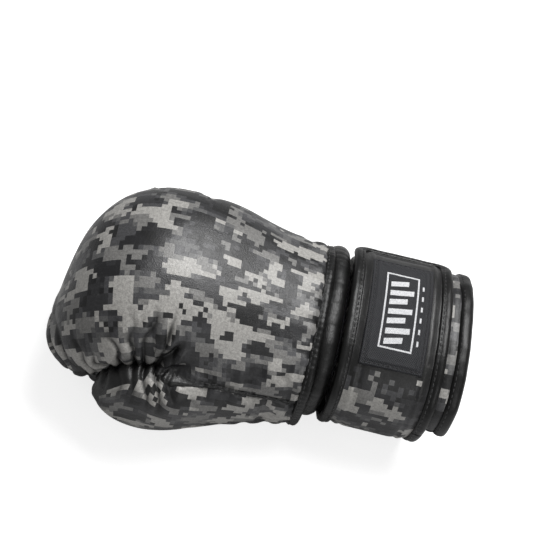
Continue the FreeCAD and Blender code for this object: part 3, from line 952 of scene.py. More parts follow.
def make_back_cover():
    x = stations(FRONT_X, DOME_LENGTH, HEM_X - 2 * MM, 60, 2)
    x = np.concatenate([x[x < GATHERS_X0], np.arange(GATHERS_X0, GATHERS_X1, GATHER_ROW),
                        np.linspace(GATHERS_X1, HEM_X - 2 * MM, 64)])
    far_turn, near_turn = palm_seam_turns(x)
    turn = even_ring(lambda t: section_reach(t, fist_outline(x[:, None])), far_turn, near_turn, 200)
    plain = ring_points(x[:, None], turn, joined_reach(x[:, None], turn))
    pattern = flat_pattern(plain, 11)
    grid = ring_points(x[:, None], turn, back_reach(x[:, None], turn))
    grid[..., 2] = on_table(grid[..., 2])
    u, v = grid_lengths(plain, 80)
    xs = grid[..., 0]
    seam = seam_turn(xs)
    mid_y, mid_z = middle_of(fist_outline(xs))
    radius = np.hypot(grid[..., 1] - mid_y, grid[..., 2] - mid_z)
    above = (seam - turn) * radius
    height, fold = pleats(xs, above, grid, *FIST_GATHERS)
    gathered = smooth(xs, -40 * MM, -56 * MM)
    height, fold = FIST_GATHER_DEPTH * height * gathered, fold * gathered
    hold = np.maximum(edge_hold(grid, 0.25), np.exp(-(above / (4 * MM)) ** 2))
    hold = np.maximum(hold, 1.0 * (above < 0))
    settled = settle(grid, CLOTH_ROWS, hold, 0.035)
    behind = smooth(xs, -66 * MM, -58 * MM)
    height += edge_roll(above + 0.5 * MM, 2.4 * MM, 2.2 * MM) * behind * (above > -1 * MM)
    height += edge_roll(np.abs(above), 3.5 * MM, 5 * MM) * (1 - behind) * smooth(xs, -112 * MM, -94 * MM)
    height += seam_pucker(np.abs(above), u) * behind
    far_edge = v - v[:, :1]
    near_edge = v[:, -1:] - v
    height += edge_roll(far_edge) + seam_pucker(far_edge, u)
    height += edge_roll(near_edge) * (1 - behind)
    hem = HEM_X - 6 * MM - xs
    height += edge_roll(hem, 1.6 * MM, 3.0 * MM)
    gather = np.cos(2 * math.pi * v / (11 * MM) + 1.3 * ripple(grid, 60 * MM, 21))
    height += 0.45 * MM * gather * np.exp(-np.clip(hem, 0, 1) / (11 * MM))
    height += 0.75 * MM * ripple(grid, 95 * MM, 31) + 0.22 * MM * ripple(grid, 34 * MM, 32)
    wedge = crease_line(grid, (-64, -56, 72), (-47, -42, 89), 4.2, 2.6, 1.5)
    height += wedge
    height += crease_line(grid, (-58, -54, 74), (-30, -52, 79), 1.2, 3.2, -1.0)
    grid = lift(grid + settled, height)
    grid[..., 2] = on_table(grid[..., 2])
    # painted shade laid into the colour: near the crease, in the pressed wedge, along the seam groove, and full
    # black where the cover runs on beyond the seam under the thumb cover
    painted_crease_shade = np.exp(-(np.clip(above - 1 * MM, 0, 1) / (5.5 * MM)) ** 2) * (1 - behind)
    painted_seam_shade = np.exp(-(above / (1.0 * MM)) ** 2) * behind
    painted_wedge_shade = np.clip(-wedge / (2.6 * MM), 0, 1) ** 1.5
    fold = np.clip(fold + painted_crease_shade + painted_wedge_shade + 0.9 * painted_seam_shade + (above < -1 * MM), 0, 1)
    return grid_piece("back_cover", grid, CAMO_LEATHER, pattern, flip=True, fold=fold)


def make_palm_covers():
    """Black covers under the hand: the palm and, in front of it, the finger cover."""
    pieces = []
    spans = [("finger_cover", stations(FRONT_X, DOME_LENGTH, FINGER_SEAM_X, 46, 8), ["finger_panel"]),
             ("palm_cover", np.linspace(FINGER_SEAM_X, HEM_X - 2 * MM, 78), ["palm_panel", "palm_foam"])]
    for name, x, nodes in spans:
        far_turn, near_turn = palm_seam_turns(x)
        turn = even_ring(lambda t: section_reach(t, fist_outline(x[:, None])),
                         near_turn, far_turn + 2 * math.pi, 110)
        grid = ring_points(x[:, None], turn, section_reach(turn, fist_outline(x[:, None])))
        u, v = grid_lengths(grid, 55)
        height = edge_roll(v - v[:, :1]) + edge_roll(v[:, -1:] - v)
        height += seam_pucker(v[:, -1:] - v, u)
        height += edge_roll(np.abs(grid[..., 0] - FINGER_SEAM_X), 2.4 * MM, 3 * MM)
        height += 0.5 * MM * ripple(grid, 60 * MM, 41) + 0.25 * MM * ripple(grid, 22 * MM, 42)
        height += edge_roll(HEM_X - 8 * MM - grid[..., 0], 2.0 * MM, 4.0 * MM)
        grid = lift(grid + settle(grid, 5, edge_hold(grid, 0.25), 0.03), height)
        grid[..., 2] = on_table(grid[..., 2])
        piece = grid_piece(name, grid, BLACK_LEATHER, np.stack([u, v], axis=-1), flip=True)
        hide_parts(*nodes)
        pieces.append(piece)
    return pieces


def thumb_ring(x, turn):
    outline = thumb_outline(x)
    return points_round(x, turn, section_reach(turn, outline), outline)


def make_thumb_covers():
    x = stations(THUMB_TIP_X, THUMB_DOME, HEM_X - 2 * MM, 34, 82)
    columns = 96
    one = np.ones(len(x))
    top, bottom = math.radians(62), math.radians(285)
    free_turn = even_ring(lambda t: section_reach(t, thumb_outline(x[:, None])),
                          one * top, one * bottom, columns)
    free = thumb_ring(x[:, None], free_turn)
    low_turn = one * math.radians(216)
    joined_turn = even_ring(lambda t: joined_reach(x[:, None], t), seam_turn(x), low_turn, columns)
    joined = ring_points(x[:, None], joined_turn, joined_reach(x[:, None], joined_turn))
    blend = smooth(x, -72 * MM, -40 * MM)[:, None, None]
    grid = free + (joined - free) * blend
    pattern = flat_pattern(grid, 9)
    u, v = grid_lengths(grid, 0)
    xs = grid[..., 0]
    edge = v
    other = v[:, -1:] - v
    height = edge_roll(edge, 2.6 * MM, 3.0 * MM) + edge_roll(other, 3.0 * MM, 4.0 * MM)
    height += seam_pucker(edge, u) * smooth(xs, -70 * MM, -60 * MM)
    gather_height, fold = pleats(xs, edge, grid, *THUMB_GATHERS)
    gathered = smooth(xs, -40 * MM, -54 * MM)
    height += THUMB_GATHER_DEPTH * gather_height * gathered
    # painted shade in the valleys of the gathers and along the cover's seam edge
    fold = np.clip(fold * gathered + np.exp(-(edge / (2.2 * MM)) ** 2), 0, 1)
    height += 0.8 * MM * ripple(grid, 70 * MM, 52) + 0.2 * MM * ripple(grid, 25 * MM, 53)
    hem = HEM_X - 8 * MM - xs
    height += edge_roll(hem, 2.0 * MM, 4.0 * MM)
    gather = np.cos(2 * math.pi * v / (8 * MM) + 1.3 * ripple(grid, 50 * MM, 54))
    height += 0.6 * MM * gather * np.exp(-np.clip(hem, 0, 1) / (13 * MM))
    grid = lift(grid + settle(grid, CLOTH_ROWS, edge_hold(grid, 0.25), 0.04), height)
    lip = []
    for step in range(1, 5):
        way_in = np.stack([0 * x, one * (0.2 * step), one * (-0.8 * step)], axis=-1)[:, None]
        lip.insert(0, grid[:, :1] + way_in * 2.2 * MM)
    outer = np.concatenate(lip + [grid], axis=1)
    outer[..., 2] = on_table(outer[..., 2])
    pattern[..., 1] -= pattern[:, :1, 1]
    lip_flat = [pattern[:, :1] - np.array([0, 2 * MM * k]) for k in range(4, 0, -1)]
    outer_flat = np.concatenate(lip_flat + [pattern], axis=1)
    # painted shade: the lip tucked into the seam is darkened to full black
    outer_painted_shade = np.concatenate([np.ones((len(x), 4)), fold], axis=1)
    spot = pattern[int(np.argmin(np.abs(x + 76 * MM))), 0]
    black_top = round_mask((float(spot[0]), 2 * MM), (30 * MM, 21 * MM))
    leather = camo_material("camo_leather_thumb", black_top, shift=0.31)
    cover = grid_piece("thumb_cover", outer, leather, outer_flat, flip=True, fold=outer_painted_shade)
    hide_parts("thumb_outer_panel", "side_panel", "side_foam", "thumb_foam", "thumb_lining")

    inner_x = stations(THUMB_TIP_X + 0.8 * MM, THUMB_DOME, SPLIT_X + 14 * MM, 30, 22)
    ones = np.ones(len(inner_x))
    inner_turn = even_ring(lambda t: section_reach(t, thumb_outline(inner_x[:, None])),
                           ones * math.radians(-78), ones * math.radians(66), 60)
    inner = thumb_ring(inner_x[:, None], inner_turn)
    iu, iv = grid_lengths(inner, 30)
    inner = lift(inner, -1.6 * MM + 0.3 * MM * ripple(inner, 22 * MM, 61) + 0 * iv)
    inner_cover = grid_piece("thumb_inner_cover", inner, BLACK_LEATHER, np.stack([iu, iv], axis=-1), flip=True)
    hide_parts("thumb_inner_panel")
    return cover, inner_cover


def finish_soft(piece):
    return piece


back_cover = make_back_cover()
subdivide(back_cover)
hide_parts("back_panel", "knuckle_foam", "base_foam")
finish_soft(back_cover)
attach(back_cover, "hand")
for piece in make_palm_covers():
    subdivide(piece)
    finish_soft(piece)
    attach(piece, "hand")
thumb_cover, thumb_inner_cover = make_thumb_covers()
for piece, slot_name in ((thumb_cover, "camo_leather"), (thumb_inner_cover, "black_leather")):
    subdivide(piece)
    finish_soft(piece)
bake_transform(thumb_cover)
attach(thumb_inner_cover, "thumb")


# ---------------------------------------------------------------------------
# Wrist: everything round it is laid out flat and wrapped on
# ---------------------------------------------------------------------------
def wrist_reach(turn):
    """Distance from the wrist's middle to its outside."""
    low = np.zeros(turn.shape)
    high = low + 0.09
    centre = (WRIST_HEIGHT - REST_SINK) / 2 - WRIST_MID_Z
    half = (WRIST_HEIGHT + REST_SINK) / 2
    for _ in range(30):
        r = (low + high) / 2
        y = np.abs(r * np.cos(turn)) / WRIST_HALF_WIDTH
        z = np.abs(r * np.sin(turn) - centre) / half
        inside = y ** SECTION_POWER + z ** SECTION_POWER < 1
        low = np.where(inside, r, low)
        high = np.where(inside, high, r)
    return (low + high) / 2


def wrist_table():
    turn = np.radians(np.linspace(-180, 540, 5761))
    r = wrist_reach(turn)
    y = AXIS_Y + r * np.cos(turn)
    z = on_table(WRIST_MID_Z + r * np.sin(turn))
    run = np.concatenate([[0], np.cumsum(np.hypot(np.diff(y), np.diff(z)))])
    run -= np.interp(math.radians(STRAP_END_ANGLE), turn, run)
    dy, dz = np.gradient(y), np.gradient(z)
    size = np.hypot(dy, dz)
    return turn, y, z, run, dz / size, -dy / size


TABLE_TURN, TABLE_Y, TABLE_Z, TABLE_RUN, TABLE_NY, TABLE_NZ = wrist_table()


def run_at(angle):
    """Distance along the wrist from the strap's free end to an angle in degrees."""
    return float(np.interp(math.radians(angle), TABLE_TURN, TABLE_RUN))


WRIST_ROUND = run_at(STRAP_END_ANGLE + 360)


def wrap(x, run, out):
    """A flat place on the wrist band, and a height above its outside, as a point in the frame."""
    x, run, out = np.broadcast_arrays(np.asarray(x, float), np.asarray(run, float), np.asarray(out, float))
    y = np.interp(run, TABLE_RUN, TABLE_Y)
    z = np.interp(run, TABLE_RUN, TABLE_Z)
    ny = np.interp(run, TABLE_RUN, TABLE_NY)
    nz = np.interp(run, TABLE_RUN, TABLE_NZ)
    return np.stack([x, y + ny * out, z + nz * out], axis=-1)


def wrap_normal(run):
    run = np.asarray(run, float)
    ny = np.interp(run, TABLE_RUN, TABLE_NY)
    nz = np.interp(run, TABLE_RUN, TABLE_NZ)
    return np.stack([0 * run, ny, nz], axis=-1)


RUN_TOP_BEND = run_at(STRAP_TOP_BEND)
RUN_SPLIT = run_at(STRAP_SPLIT_ANGLE)
RUN_LOW_BEND = run_at(STRAP_LOW_BEND)
RUN_ROOT = run_at(STRAP_ROOT_ANGLE)
STRAP_HALF = (STRAP_X1 - STRAP_X0) / 2
CORNER = 13 * MM


def bend_span(run_before, run_after):
    """Start and end points for a bend across the wrist surface between two places."""
    a, b = wrap(STRAP_MID_X, run_before, 0), wrap(STRAP_MID_X, run_after, 0)
    return dict(start=tuple(a), end=tuple(b))


def half_width_at(run):
    """Half the strap's width near its free end, where the corners are round."""
    into = np.clip(CORNER - run, 0, CORNER)
    return STRAP_HALF - (CORNER - np.sqrt(np.maximum(CORNER ** 2 - into ** 2, 0)))


def edge_distance(x, run):
    side = half_width_at(run) - np.abs(x - STRAP_MID_X)
    return np.minimum(side, run)


def strap_height(x, run):
    """The strap leather's shape: a soft crown, a sunk stitch line and a pressed ridge inside it."""
    place = np.stack([x, run, 0 * x], axis=-1)
    d = edge_distance(x, run)
    height = -0.9 * MM + 1.3 * MM * smooth(d, 6 * MM, 20 * MM)
    height -= 0.5 * MM * np.exp(-((d - 7.6 * MM) / (1.1 * MM)) ** 2)
    height += 0.75 * MM * np.exp(-((d - 12.0 * MM) / (1.5 * MM)) ** 2)
    height -= 0.35 * MM * np.exp(-((d - 14.8 * MM) / (1.3 * MM)) ** 2)
    height += 0.30 * MM * ripple(place, 42 * MM, 70) + 0.07 * MM * ripple(place, 13 * MM, 71)
    return height


def strap_leather(name, run0, run1, free_end):
    runs = np.linspace(run0, run1, max(12, int((run1 - run0) / (1.3 * MM))))
    share = np.linspace(-1, 1, 60)
    half = np.full(len(runs), STRAP_HALF)
    if free_end:
        half = half_width_at(np.maximum(runs, 0.4 * MM))
    half = half - 1.2 * MM
    x = STRAP_MID_X + half[:, None] * share[None, :]
    run = np.repeat(runs[:, None], 60, axis=1)
    grid = wrap(x, run, strap_height(x, run))
    return grid_piece(name, grid, STRAP_LEATHER, np.stack([x, run], axis=-1))


def strap_inside(name, run0, run1, free_end, depth, material):
    runs = np.linspace(run0 + (2 * MM if free_end else 0), run1, max(12, int((run1 - run0) / (2.2 * MM))))
    half = half_width_at(runs) - 1.5 * MM if free_end else np.full(len(runs), STRAP_HALF - 1.5 * MM)
    x = STRAP_MID_X + half[:, None] * np.linspace(-1, 1, 36)[None, :]
    run = np.repeat(runs[:, None], 36, axis=1)
    place = np.stack([x, run, 0 * x], axis=-1)
    grid = wrap(x, run, -depth + 0.12 * MM * ripple(place, 16 * MM, 77))
    return grid_piece(name, grid, material, np.stack([x, run], axis=-1), flip=True)


# the folded strip's cross-section in mm: distance into the strap and height above its outside
BINDING_PROFILE = [(7.4, -0.9), (7.1, -0.05), (6.2, 0.25), (5.2, 0.10), (4.2, 0.55), (2.9, 0.85),
                   (1.5, 0.65), (0.3, -0.1), (-0.2, -1.3), (-0.2, -2.8), (0.2, -3.9), (1.2, -4.5),
                   (2.8, -4.7), (5.0, -4.7), (7.0, -4.6), (7.4, -4.2)]


def strap_outline(run_stop, step=1.2 * MM):
    """The strap's outline laid flat: up one edge, round the free end and back down the other."""
    corner, half = CORNER, STRAP_HALF
    straight = np.arange(run_stop, corner, -step)
    turn = np.linspace(0, math.pi / 2, 18)[1:]
    left = [(STRAP_MID_X - half, r, 1.0, 0.0) for r in straight]
    bend = [(STRAP_MID_X - half + corner * (1 - math.cos(t)), corner - corner * math.sin(t),
             math.cos(t), math.sin(t)) for t in turn]
    cross = [(x, 0.0, 0.0, 1.0) for x in np.arange(STRAP_MID_X - half + corner + step, STRAP_MID_X, step)]
    first = left + bend + cross
    second = [(2 * STRAP_MID_X - x, r, -ix, ir) for x, r, ix, ir in reversed(first)]
    return np.array(first + second)


def roll_binding(name, path, material, seed):
    """A leather strip folded over an edge; path rows are x, run and the way into the strap."""
    profile = np.array(BINDING_PROFILE) * MM
    rows = []
    length = np.concatenate([[0], np.cumsum(np.hypot(np.diff(path[:, 0]), np.diff(path[:, 1])))])
    for (w, h) in profile:
        x = path[:, 0] + path[:, 2] * w
        run = path[:, 1] + path[:, 3] * w
        place = np.stack([path[:, 0], path[:, 1], np.full(len(path), w)], axis=-1)
        near_thread = math.exp(-((w - 5.4 * MM) / (1.6 * MM)) ** 2)
        pucker = 0.10 * MM * np.cos(2 * math.pi * length / STITCH_PITCH) * near_thread
        out = h + (0.12 * MM * ripple(place, 11 * MM, seed) + pucker if h > -2 * MM else 0)
        rows.append(wrap(x, run, out))
    grid = np.stack(rows, axis=1)
    uv = np.stack(np.broadcast_arrays(length[:, None], np.arange(len(profile))[None, :] * 1.2 * MM), axis=-1)
    return grid_piece(name, grid, material, uv, close_v=True, cap=True)


def thread_on_path(path, inset, height):
    x = path[:, 0] + path[:, 2] * inset
    run = path[:, 1] + path[:, 3] * inset
    return stitch_row(wrap(x, run, height), wrap_normal(run))


def straight_edges(run0, run1, step=1.2 * MM):
    runs = np.arange(run0, run1, step)
    left = np.stack([np.full(len(runs), STRAP_X0), runs, np.ones(len(runs)), 0 * runs], axis=-1)
    right = np.stack([np.full(len(runs), STRAP_X1), runs, -np.ones(len(runs)), 0 * runs], axis=-1)
    return left, right


TOP_BEND = bend_span(RUN_TOP_BEND + 6 * MM, RUN_TOP_BEND - 6 * MM)
LOW_BEND = bend_span(RUN_LOW_BEND + 6 * MM, RUN_LOW_BEND - 6 * MM)


def bend_top(piece):
    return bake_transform(piece)


def bend_low(piece):
    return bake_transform(piece)


def make_strap():
    upper = strap_leather("strap_leather_upper", 0.6 * MM, RUN_SPLIT, True)
    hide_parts("strap_end_leather")
    lower = strap_leather("strap_leather_lower", RUN_SPLIT, RUN_ROOT, False)
    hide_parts("strap_side_leather", "strap_root_leather")
    outline = strap_outline(RUN_SPLIT)
    edge_upper = roll_binding("strap_binding_upper", outline, BINDING_LEATHER, 81)
    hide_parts("strap_end_binding")
    left, right = straight_edges(RUN_SPLIT, RUN_ROOT)
    edge_left = roll_binding("strap_binding_lower_hand_side", left, BINDING_LEATHER, 82)
    edge_right = roll_binding("strap_binding_lower_cuff_side", right, BINDING_LEATHER, 83)
    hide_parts("strap_side_binding")
    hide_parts("strap_root_binding")
    inside_upper = strap_inside("strap_webbing_upper", 0.6 * MM, RUN_SPLIT, True, 3.6 * MM, WEBBING)
    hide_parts("strap_end_core")
    inside_lower = strap_inside("strap_webbing_lower", RUN_SPLIT, RUN_ROOT, False, 3.6 * MM, WEBBING)
    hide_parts("strap_side_core", "strap_root_core")
    threads_upper = stitching("strap_stitches_upper", [thread_on_path(outline, 5.5 * MM, 0.25 * MM)], THREAD)
    threads_lower = stitching("strap_stitches_lower", [thread_on_path(left, 5.5 * MM, 0.25 * MM),
                                                       thread_on_path(right, 5.5 * MM, 0.25 * MM)], THREAD)
    for piece, slot_name in ((upper, "strap_leather"), (edge_upper, "binding_leather"),
                             (inside_upper, "webbing"), (threads_upper, "binding_leather")):
        if piece in (upper, inside_upper):
            subdivide(piece)
        bend_top(piece)
    for piece, slot_name in ((lower, "strap_leather"), (edge_left, "binding_leather"),
                             (edge_right, "binding_leather"), (inside_lower, "webbing"),
                             (threads_lower, "binding_leather")):
        if piece in (lower, inside_lower):
            subdivide(piece)
        bend_low(piece)


make_strap()


def run_at_y(y):
    """Place on the back of the wrist at a given width."""
    top = (TABLE_TURN > 0) & (TABLE_TURN < math.pi)
    order = np.argsort(TABLE_Y[top])
    return float(np.interp(y, TABLE_Y[top][order], TABLE_RUN[top][order]))


def make_patch():
    run0, run1 = run_at_y(PATCH_HIGH.y), run_at_y(PATCH_LOW.y)
    x0, x1 = PATCH_LOW.x, PATCH_HIGH.x
    xs, runs = np.linspace(x0, x1, 64), np.linspace(run0, run1, 112)
    run, x = np.meshgrid(runs, xs, indexing="ij")
    d = np.minimum(np.minimum(x - x0, x1 - x), np.minimum(run - run0, run1 - run))
    place = np.stack([x, run, 0 * x], axis=-1)
    height = 0.5 * MM + 1.0 * MM * smooth(d, -0.2 * MM, 1.2 * MM)
    height -= 0.25 * MM * np.exp(-((d - 2.6 * MM) / (0.8 * MM)) ** 2)
    height += 0.5 * MM * np.exp(-((d - 4.9 * MM) / (0.9 * MM)) ** 2)
    height += 0.05 * MM * ripple(place, 30 * MM, 91)
    height[d < 1e-6] = -0.4 * MM
    patch = grid_piece("wrist_patch", wrap(x, run, height), PATCH_SATIN, np.stack([x, run], axis=-1))
    subdivide(patch)
    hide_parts("strap_patch")
    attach(patch, "strap_end")
    inset = 2.6 * MM
    corners = [(x0 + inset, run0 + inset), (x1 - inset, run0 + inset),
               (x1 - inset, run1 - inset), (x0 + inset, run1 - inset)]
    rows = []
    for a, b in zip(corners, corners[1:] + corners[:1]):
        share = np.linspace(0, 1, 50)
        px = a[0] + (b[0] - a[0]) * share
        pr = a[1] + (b[1] - a[1]) * share
        rows.append(stitch_row(wrap(px, pr, 1.35 * MM), wrap_normal(pr), 2.2 * MM, 0.8 * MM, 0.3 * MM))
    threads = stitching("patch_stitches", rows, PALE_THREAD)
    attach(threads, "strap_end")


def slab(x_run, thickness, base, cells=6):
    """A thin raised shape with the given four flat corners (x, run)."""
    a, b, c, d = [np.array(p) for p in x_run]
    verts, faces, uvs = [], [], []
    n_long = 8
    for level in (0, 1):
        for i in range(cells + 1):
            for j in range(n_long + 1):
                s, t = i / cells, j / n_long
                p = (a * (1 - s) + b * s) * (1 - t) + (d * (1 - s) + c * s) * t
                verts.append(wrap(p[0], p[1], base + thickness * level))
                uvs.append((p[0], p[1]))
    size = (cells + 1) * (n_long + 1)

    def at(level, i, j):
        return level * size + i * (n_long + 1) + j

    for i in range(cells):
        for j in range(n_long):
            faces.append((at(1, i, j), at(1, i + 1, j), at(1, i + 1, j + 1), at(1, i, j + 1)))
    for i in range(cells):
        faces.append((at(0, i, 0), at(0, i + 1, 0), at(1, i + 1, 0), at(1, i, 0)))
        faces.append((at(1, i, n_long), at(1, i + 1, n_long), at(0, i + 1, n_long), at(0, i, n_long)))
    for j in range(n_long):
        faces.append((at(1, 0, j), at(1, 0, j + 1), at(0, 0, j + 1), at(0, 0, j)))
        faces.append((at(0, cells, j), at(0, cells, j + 1), at(1, cells, j + 1), at(1, cells, j)))
    return verts, faces, uvs


def make_emblem():
    """A plain striped device: a thin frame and slanting bars, with a row of short dashes beside it."""
    run0, run1 = run_at_y(EMBLEM_HIGH.y), run_at_y(EMBLEM_LOW.y)
    x0, x1 = EMBLEM_LOW.x, EMBLEM_HIGH.x
    base, thick = 1.55 * MM, 0.32 * MM
    line = 1.1 * MM
    shapes = [
        [(x0, run0), (x1, run0), (x1, run0 + line), (x0, run0 + line)],
        [(x0, run1 - line), (x1, run1 - line), (x1, run1), (x0, run1)],
        [(x0, run0), (x0 + line, run0), (x0 + line, run1), (x0, run1)],
        [(x1 - line, run0), (x1, run0), (x1, run1), (x1 - line, run1)],
    ]
    inner0, inner1 = run0 + 3.4 * MM, run1 - 3.4 * MM
    bars = 7
    pitch = (inner1 - inner0) / bars
    lean = 2.6 * MM
    for i in range(bars):
        start = inner0 + i * pitch + 0.2 * pitch
        stop = start + 0.56 * pitch
        left, right = x0 + 3.2 * MM, x1 - (3.2 if i % 2 else 7.0) * MM
        shapes.append([(left, start + lean), (right, start), (right, stop), (left, stop + lean)])
    for i in range(6):
        start = inner0 + (i + 0.35) * (inner1 - inner0) / 6
        dash0, dash1 = x1 + 2.2 * MM, x1 + 3.4 * MM
        stop = start + 3.4 * MM
        shapes.append([(dash0, start), (dash1, start), (dash1, stop), (dash0, stop)])
    verts, faces, uvs = [], [], []
    for shape in shapes:
        more_verts, more_faces, more_uvs = slab(shape, thick, base)
        shift = len(verts)
        verts += more_verts
        uvs += more_uvs
        faces += [tuple(i + shift for i in face) for face in more_faces]
    emblem = mesh_piece("wrist_emblem", verts, faces, uvs, EMBLEM_PRINT, smooth_faces=False)
    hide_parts("patch_emblem")
    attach(emblem, "strap_end")


make_patch()
make_emblem()


def ring_sweep(profile, columns, seed, uneven, size, slit=None, gathers=None):
    """Sweeps a profile of (x, height) round the wrist; slit is half the gap that it leaves at the palm."""
    profile = np.asarray(profile, float)
    if slit is None:
        runs = np.linspace(0, WRIST_ROUND, columns, endpoint=False)
    else:
        middle = run_at(270)
        runs = np.linspace(middle + slit, middle - slit + WRIST_ROUND, columns)
    grid = np.empty((len(runs), len(profile), 3))
    for j, (x, out) in enumerate(profile):
        place = np.stack([np.full(len(runs), x), np.cos(runs * 2 * math.pi / WRIST_ROUND) * 0.06,
                          np.sin(runs * 2 * math.pi / WRIST_ROUND) * 0.05], axis=-1)
        extra = uneven * ripple(place, size, seed)
        if gathers is not None:
            extra = extra + gathers(runs, j / (len(profile) - 1), place)
        grid[:, j] = wrap(np.full(len(runs), x), runs, out + extra)
    grid[..., 2] = np.maximum(grid[..., 2], 0.1 * MM)
    u = np.repeat(runs[:, None], len(profile), axis=1)
    steps = np.concatenate([[0], np.cumsum(np.hypot(*np.diff(profile, axis=0).T))])
    v = np.repeat(steps[None, :], len(runs), axis=0)
    return grid, np.stack([u, v], axis=-1)


def rounded_profile(x0, x1, low, high, power=2.6, count=26):
    """A plump closed cross-section between two places along the glove and two heights."""
    turn = np.linspace(0, 2 * math.pi, count, endpoint=False)
    c, s = np.cos(turn), np.sin(turn)
    x = (x0 + x1) / 2 + (x1 - x0) / 2 * np.sign(c) * np.abs(c) ** (2 / power)
    out = (low + high) / 2 + (high - low) / 2 * np.sign(s) * np.abs(s) ** (2 / power)
    return np.stack([x, out], axis=-1)[::-1]


def make_wrist():
    def neck_gathers(runs, share, place):
        phase = runs / (8.5 * MM) * math.pi + 1.8 * ripple(place, 40 * MM, 101)
        near_palm = 0.25 + smooth(np.abs(np.mod(runs, WRIST_ROUND) - run_at(225)), 62 * MM, 10 * MM)
        return 1.5 * MM * (np.abs(np.sin(phase)) ** 0.6 - 0.6) * near_palm

    profile = rounded_profile(HEM_X - 3 * MM, STRAP_X0 - 1.6 * MM, -17 * MM, -1.6 * MM, 2.1, 30)
    grid, uv = ring_sweep(profile, 420, 103, 0.5 * MM, 26 * MM, gathers=neck_gathers)
    neck = grid_piece("neck_roll_cover", grid, BLACK_LEATHER, uv, close_u=True, close_v=True, flip=False)
    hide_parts("neck_roll")
    finish_soft(neck)
    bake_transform(neck)

    profile = [(HEM_X - 3 * MM, -17.6 * MM), (HEM_X + 4 * MM, -18.0 * MM), (STRAP_X0 + 1 * MM, -17.6 * MM)]
    grid, uv = ring_sweep(profile, 160, 104, 0.25 * MM, 20 * MM)
    lining = grid_piece("neck_lining_cloth", grid, LINING, uv, close_u=True, flip=True)
    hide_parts("neck_lining")
    subdivide(lining)
    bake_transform(lining)

    slit = 9 * MM
    end = CUFF_END_X0
    profile = [(STRAP_X0 + 0.6 * MM, -16 * MM), (STRAP_X0 + 0.4 * MM, -9 * MM),
               (STRAP_X0 + 1.0 * MM, -6.8 * MM), (STRAP_X0 + 4 * MM, -6.3 * MM)]
    profile += [(STRAP_X0 + (6 + 8.2 * i) * MM, -6.2 * MM) for i in range(7)]
    profile += [(STRAP_X1 - 1 * MM, -5.6 * MM), (STRAP_X1 + 2 * MM, -4.0 * MM),
                (end - 2 * MM, -3.6 * MM), (end + 1 * MM, -4.6 * MM)]
    grid, uv = ring_sweep(profile, 300, 105, 0.2 * MM, 24 * MM, slit=slit)
    cuff = grid_piece("cuff_cover", grid, CUFF_LEATHER, uv[..., ::-1])
    subdivide(cuff)
    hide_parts("cuff_shell", "cuff_foam")
    finish_soft(cuff)
    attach(cuff, "cuff")

    profile = [(STRAP_X0 + 0.6 * MM, -16.0 * MM), (STRAP_X0 + 18 * MM, -16.3 * MM), (STRAP_MID_X, -16.2 * MM),
               (STRAP_X1, -16.3 * MM), (CUFF_END_X1 - 4 * MM, -16.0 * MM)]
    grid, uv = ring_sweep(profile, 200, 106, 0.35 * MM, 22 * MM, slit=slit - 1 * MM)
    lining = grid_piece("cuff_lining_cloth", grid, LINING, uv, flip=True)
    subdivide(lining)
    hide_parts("cuff_lining")
    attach(lining, "cuff")

    profile = rounded_profile(CUFF_END_X0 - 1.5 * MM, CUFF_END_X1, -16.6 * MM, -2.4 * MM, 2.6, 30)
    grid, uv = ring_sweep(profile, 420, 107, 0.22 * MM, 15 * MM, slit=slit)
    binding = grid_piece("cuff_end_roll", grid, BINDING_LEATHER, uv, close_v=True, cap=True)
    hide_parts("cuff_end_binding")
    finish_soft(binding)
    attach(binding, "cuff")
    middle = run_at(270)
    runs = np.linspace(middle + slit, middle - slit + WRIST_ROUND, 400)
    rows = [stitch_row(wrap(np.full(400, CUFF_END_X0 + 1.6 * MM), runs, -2.75 * MM), wrap_normal(runs))]
    threads = stitching("cuff_end_stitches", rows, THREAD)
    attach(threads, "cuff")

    runs = np.linspace(middle - slit - 2 * MM, middle + slit + 2 * MM, 44)
    xs = np.linspace(STRAP_X0 + 1 * MM, CUFF_END_X0 + 2 * MM, 120)
    run, x = np.meshgrid(runs, xs, indexing="ij")
    rib = 0.35 * MM * np.cos(2 * math.pi * run / (1.7 * MM))
    rib = rib + 0.1 * MM * ripple(np.stack([x, run, 0 * x], axis=-1), 9 * MM, 108)
    gusset = grid_piece("wrist_gusset_web", wrap(x, run, -7.0 * MM + rib), ELASTIC, np.stack([x, run], axis=-1))
    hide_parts("wrist_gusset")
    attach(gusset, "cuff")


make_wrist()


def make_fastening():
    """Loop pile on the cuff under the strap, and hook tape on the strap's inner face."""
    for name, node, run0, run1, x_margin, out, material, body, slot_name, flip in (
            ("loop_pile_panel", "loop_panel", run_at(4), run_at(150), 5 * MM, -5.0 * MM,
             LOOP_PILE, "cuff", "loop_pile", False),
            ("hook_tape_panel", "hook_panel", 5 * MM, run_at(118), 6 * MM, -4.6 * MM,
             HOOK_TAPE, "strap_end", "hook_tape", True)):
        runs = np.linspace(run0, run1, int((run1 - run0) / (1.0 * MM)))
        xs = np.linspace(STRAP_X0 + x_margin, STRAP_X1 - x_margin, 56)
        run, x = np.meshgrid(runs, xs, indexing="ij")
        luck = np.random.default_rng(5).uniform(-1, 1, run.shape)
        height = out + 0.16 * MM * luck + 0.12 * MM * ripple(np.stack([x, run, 0 * x], axis=-1), 20 * MM, 110)
        sign = 1 if flip else -1
        border = np.minimum(np.minimum(x - xs[0], xs[-1] - x), np.minimum(run - run0, run1 - run))
        height = height + sign * 0.5 * MM * (1 - smooth(border, 0, 1.0 * MM))
        if body == "cuff":
            height = height - 0.8 * MM * smooth(run, run_at(126), run_at(132))
        panel = grid_piece(name, wrap(x, run, height), material, np.stack([x, run], axis=-1), flip=flip)
        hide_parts(node)
        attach(panel, body)


make_fastening()


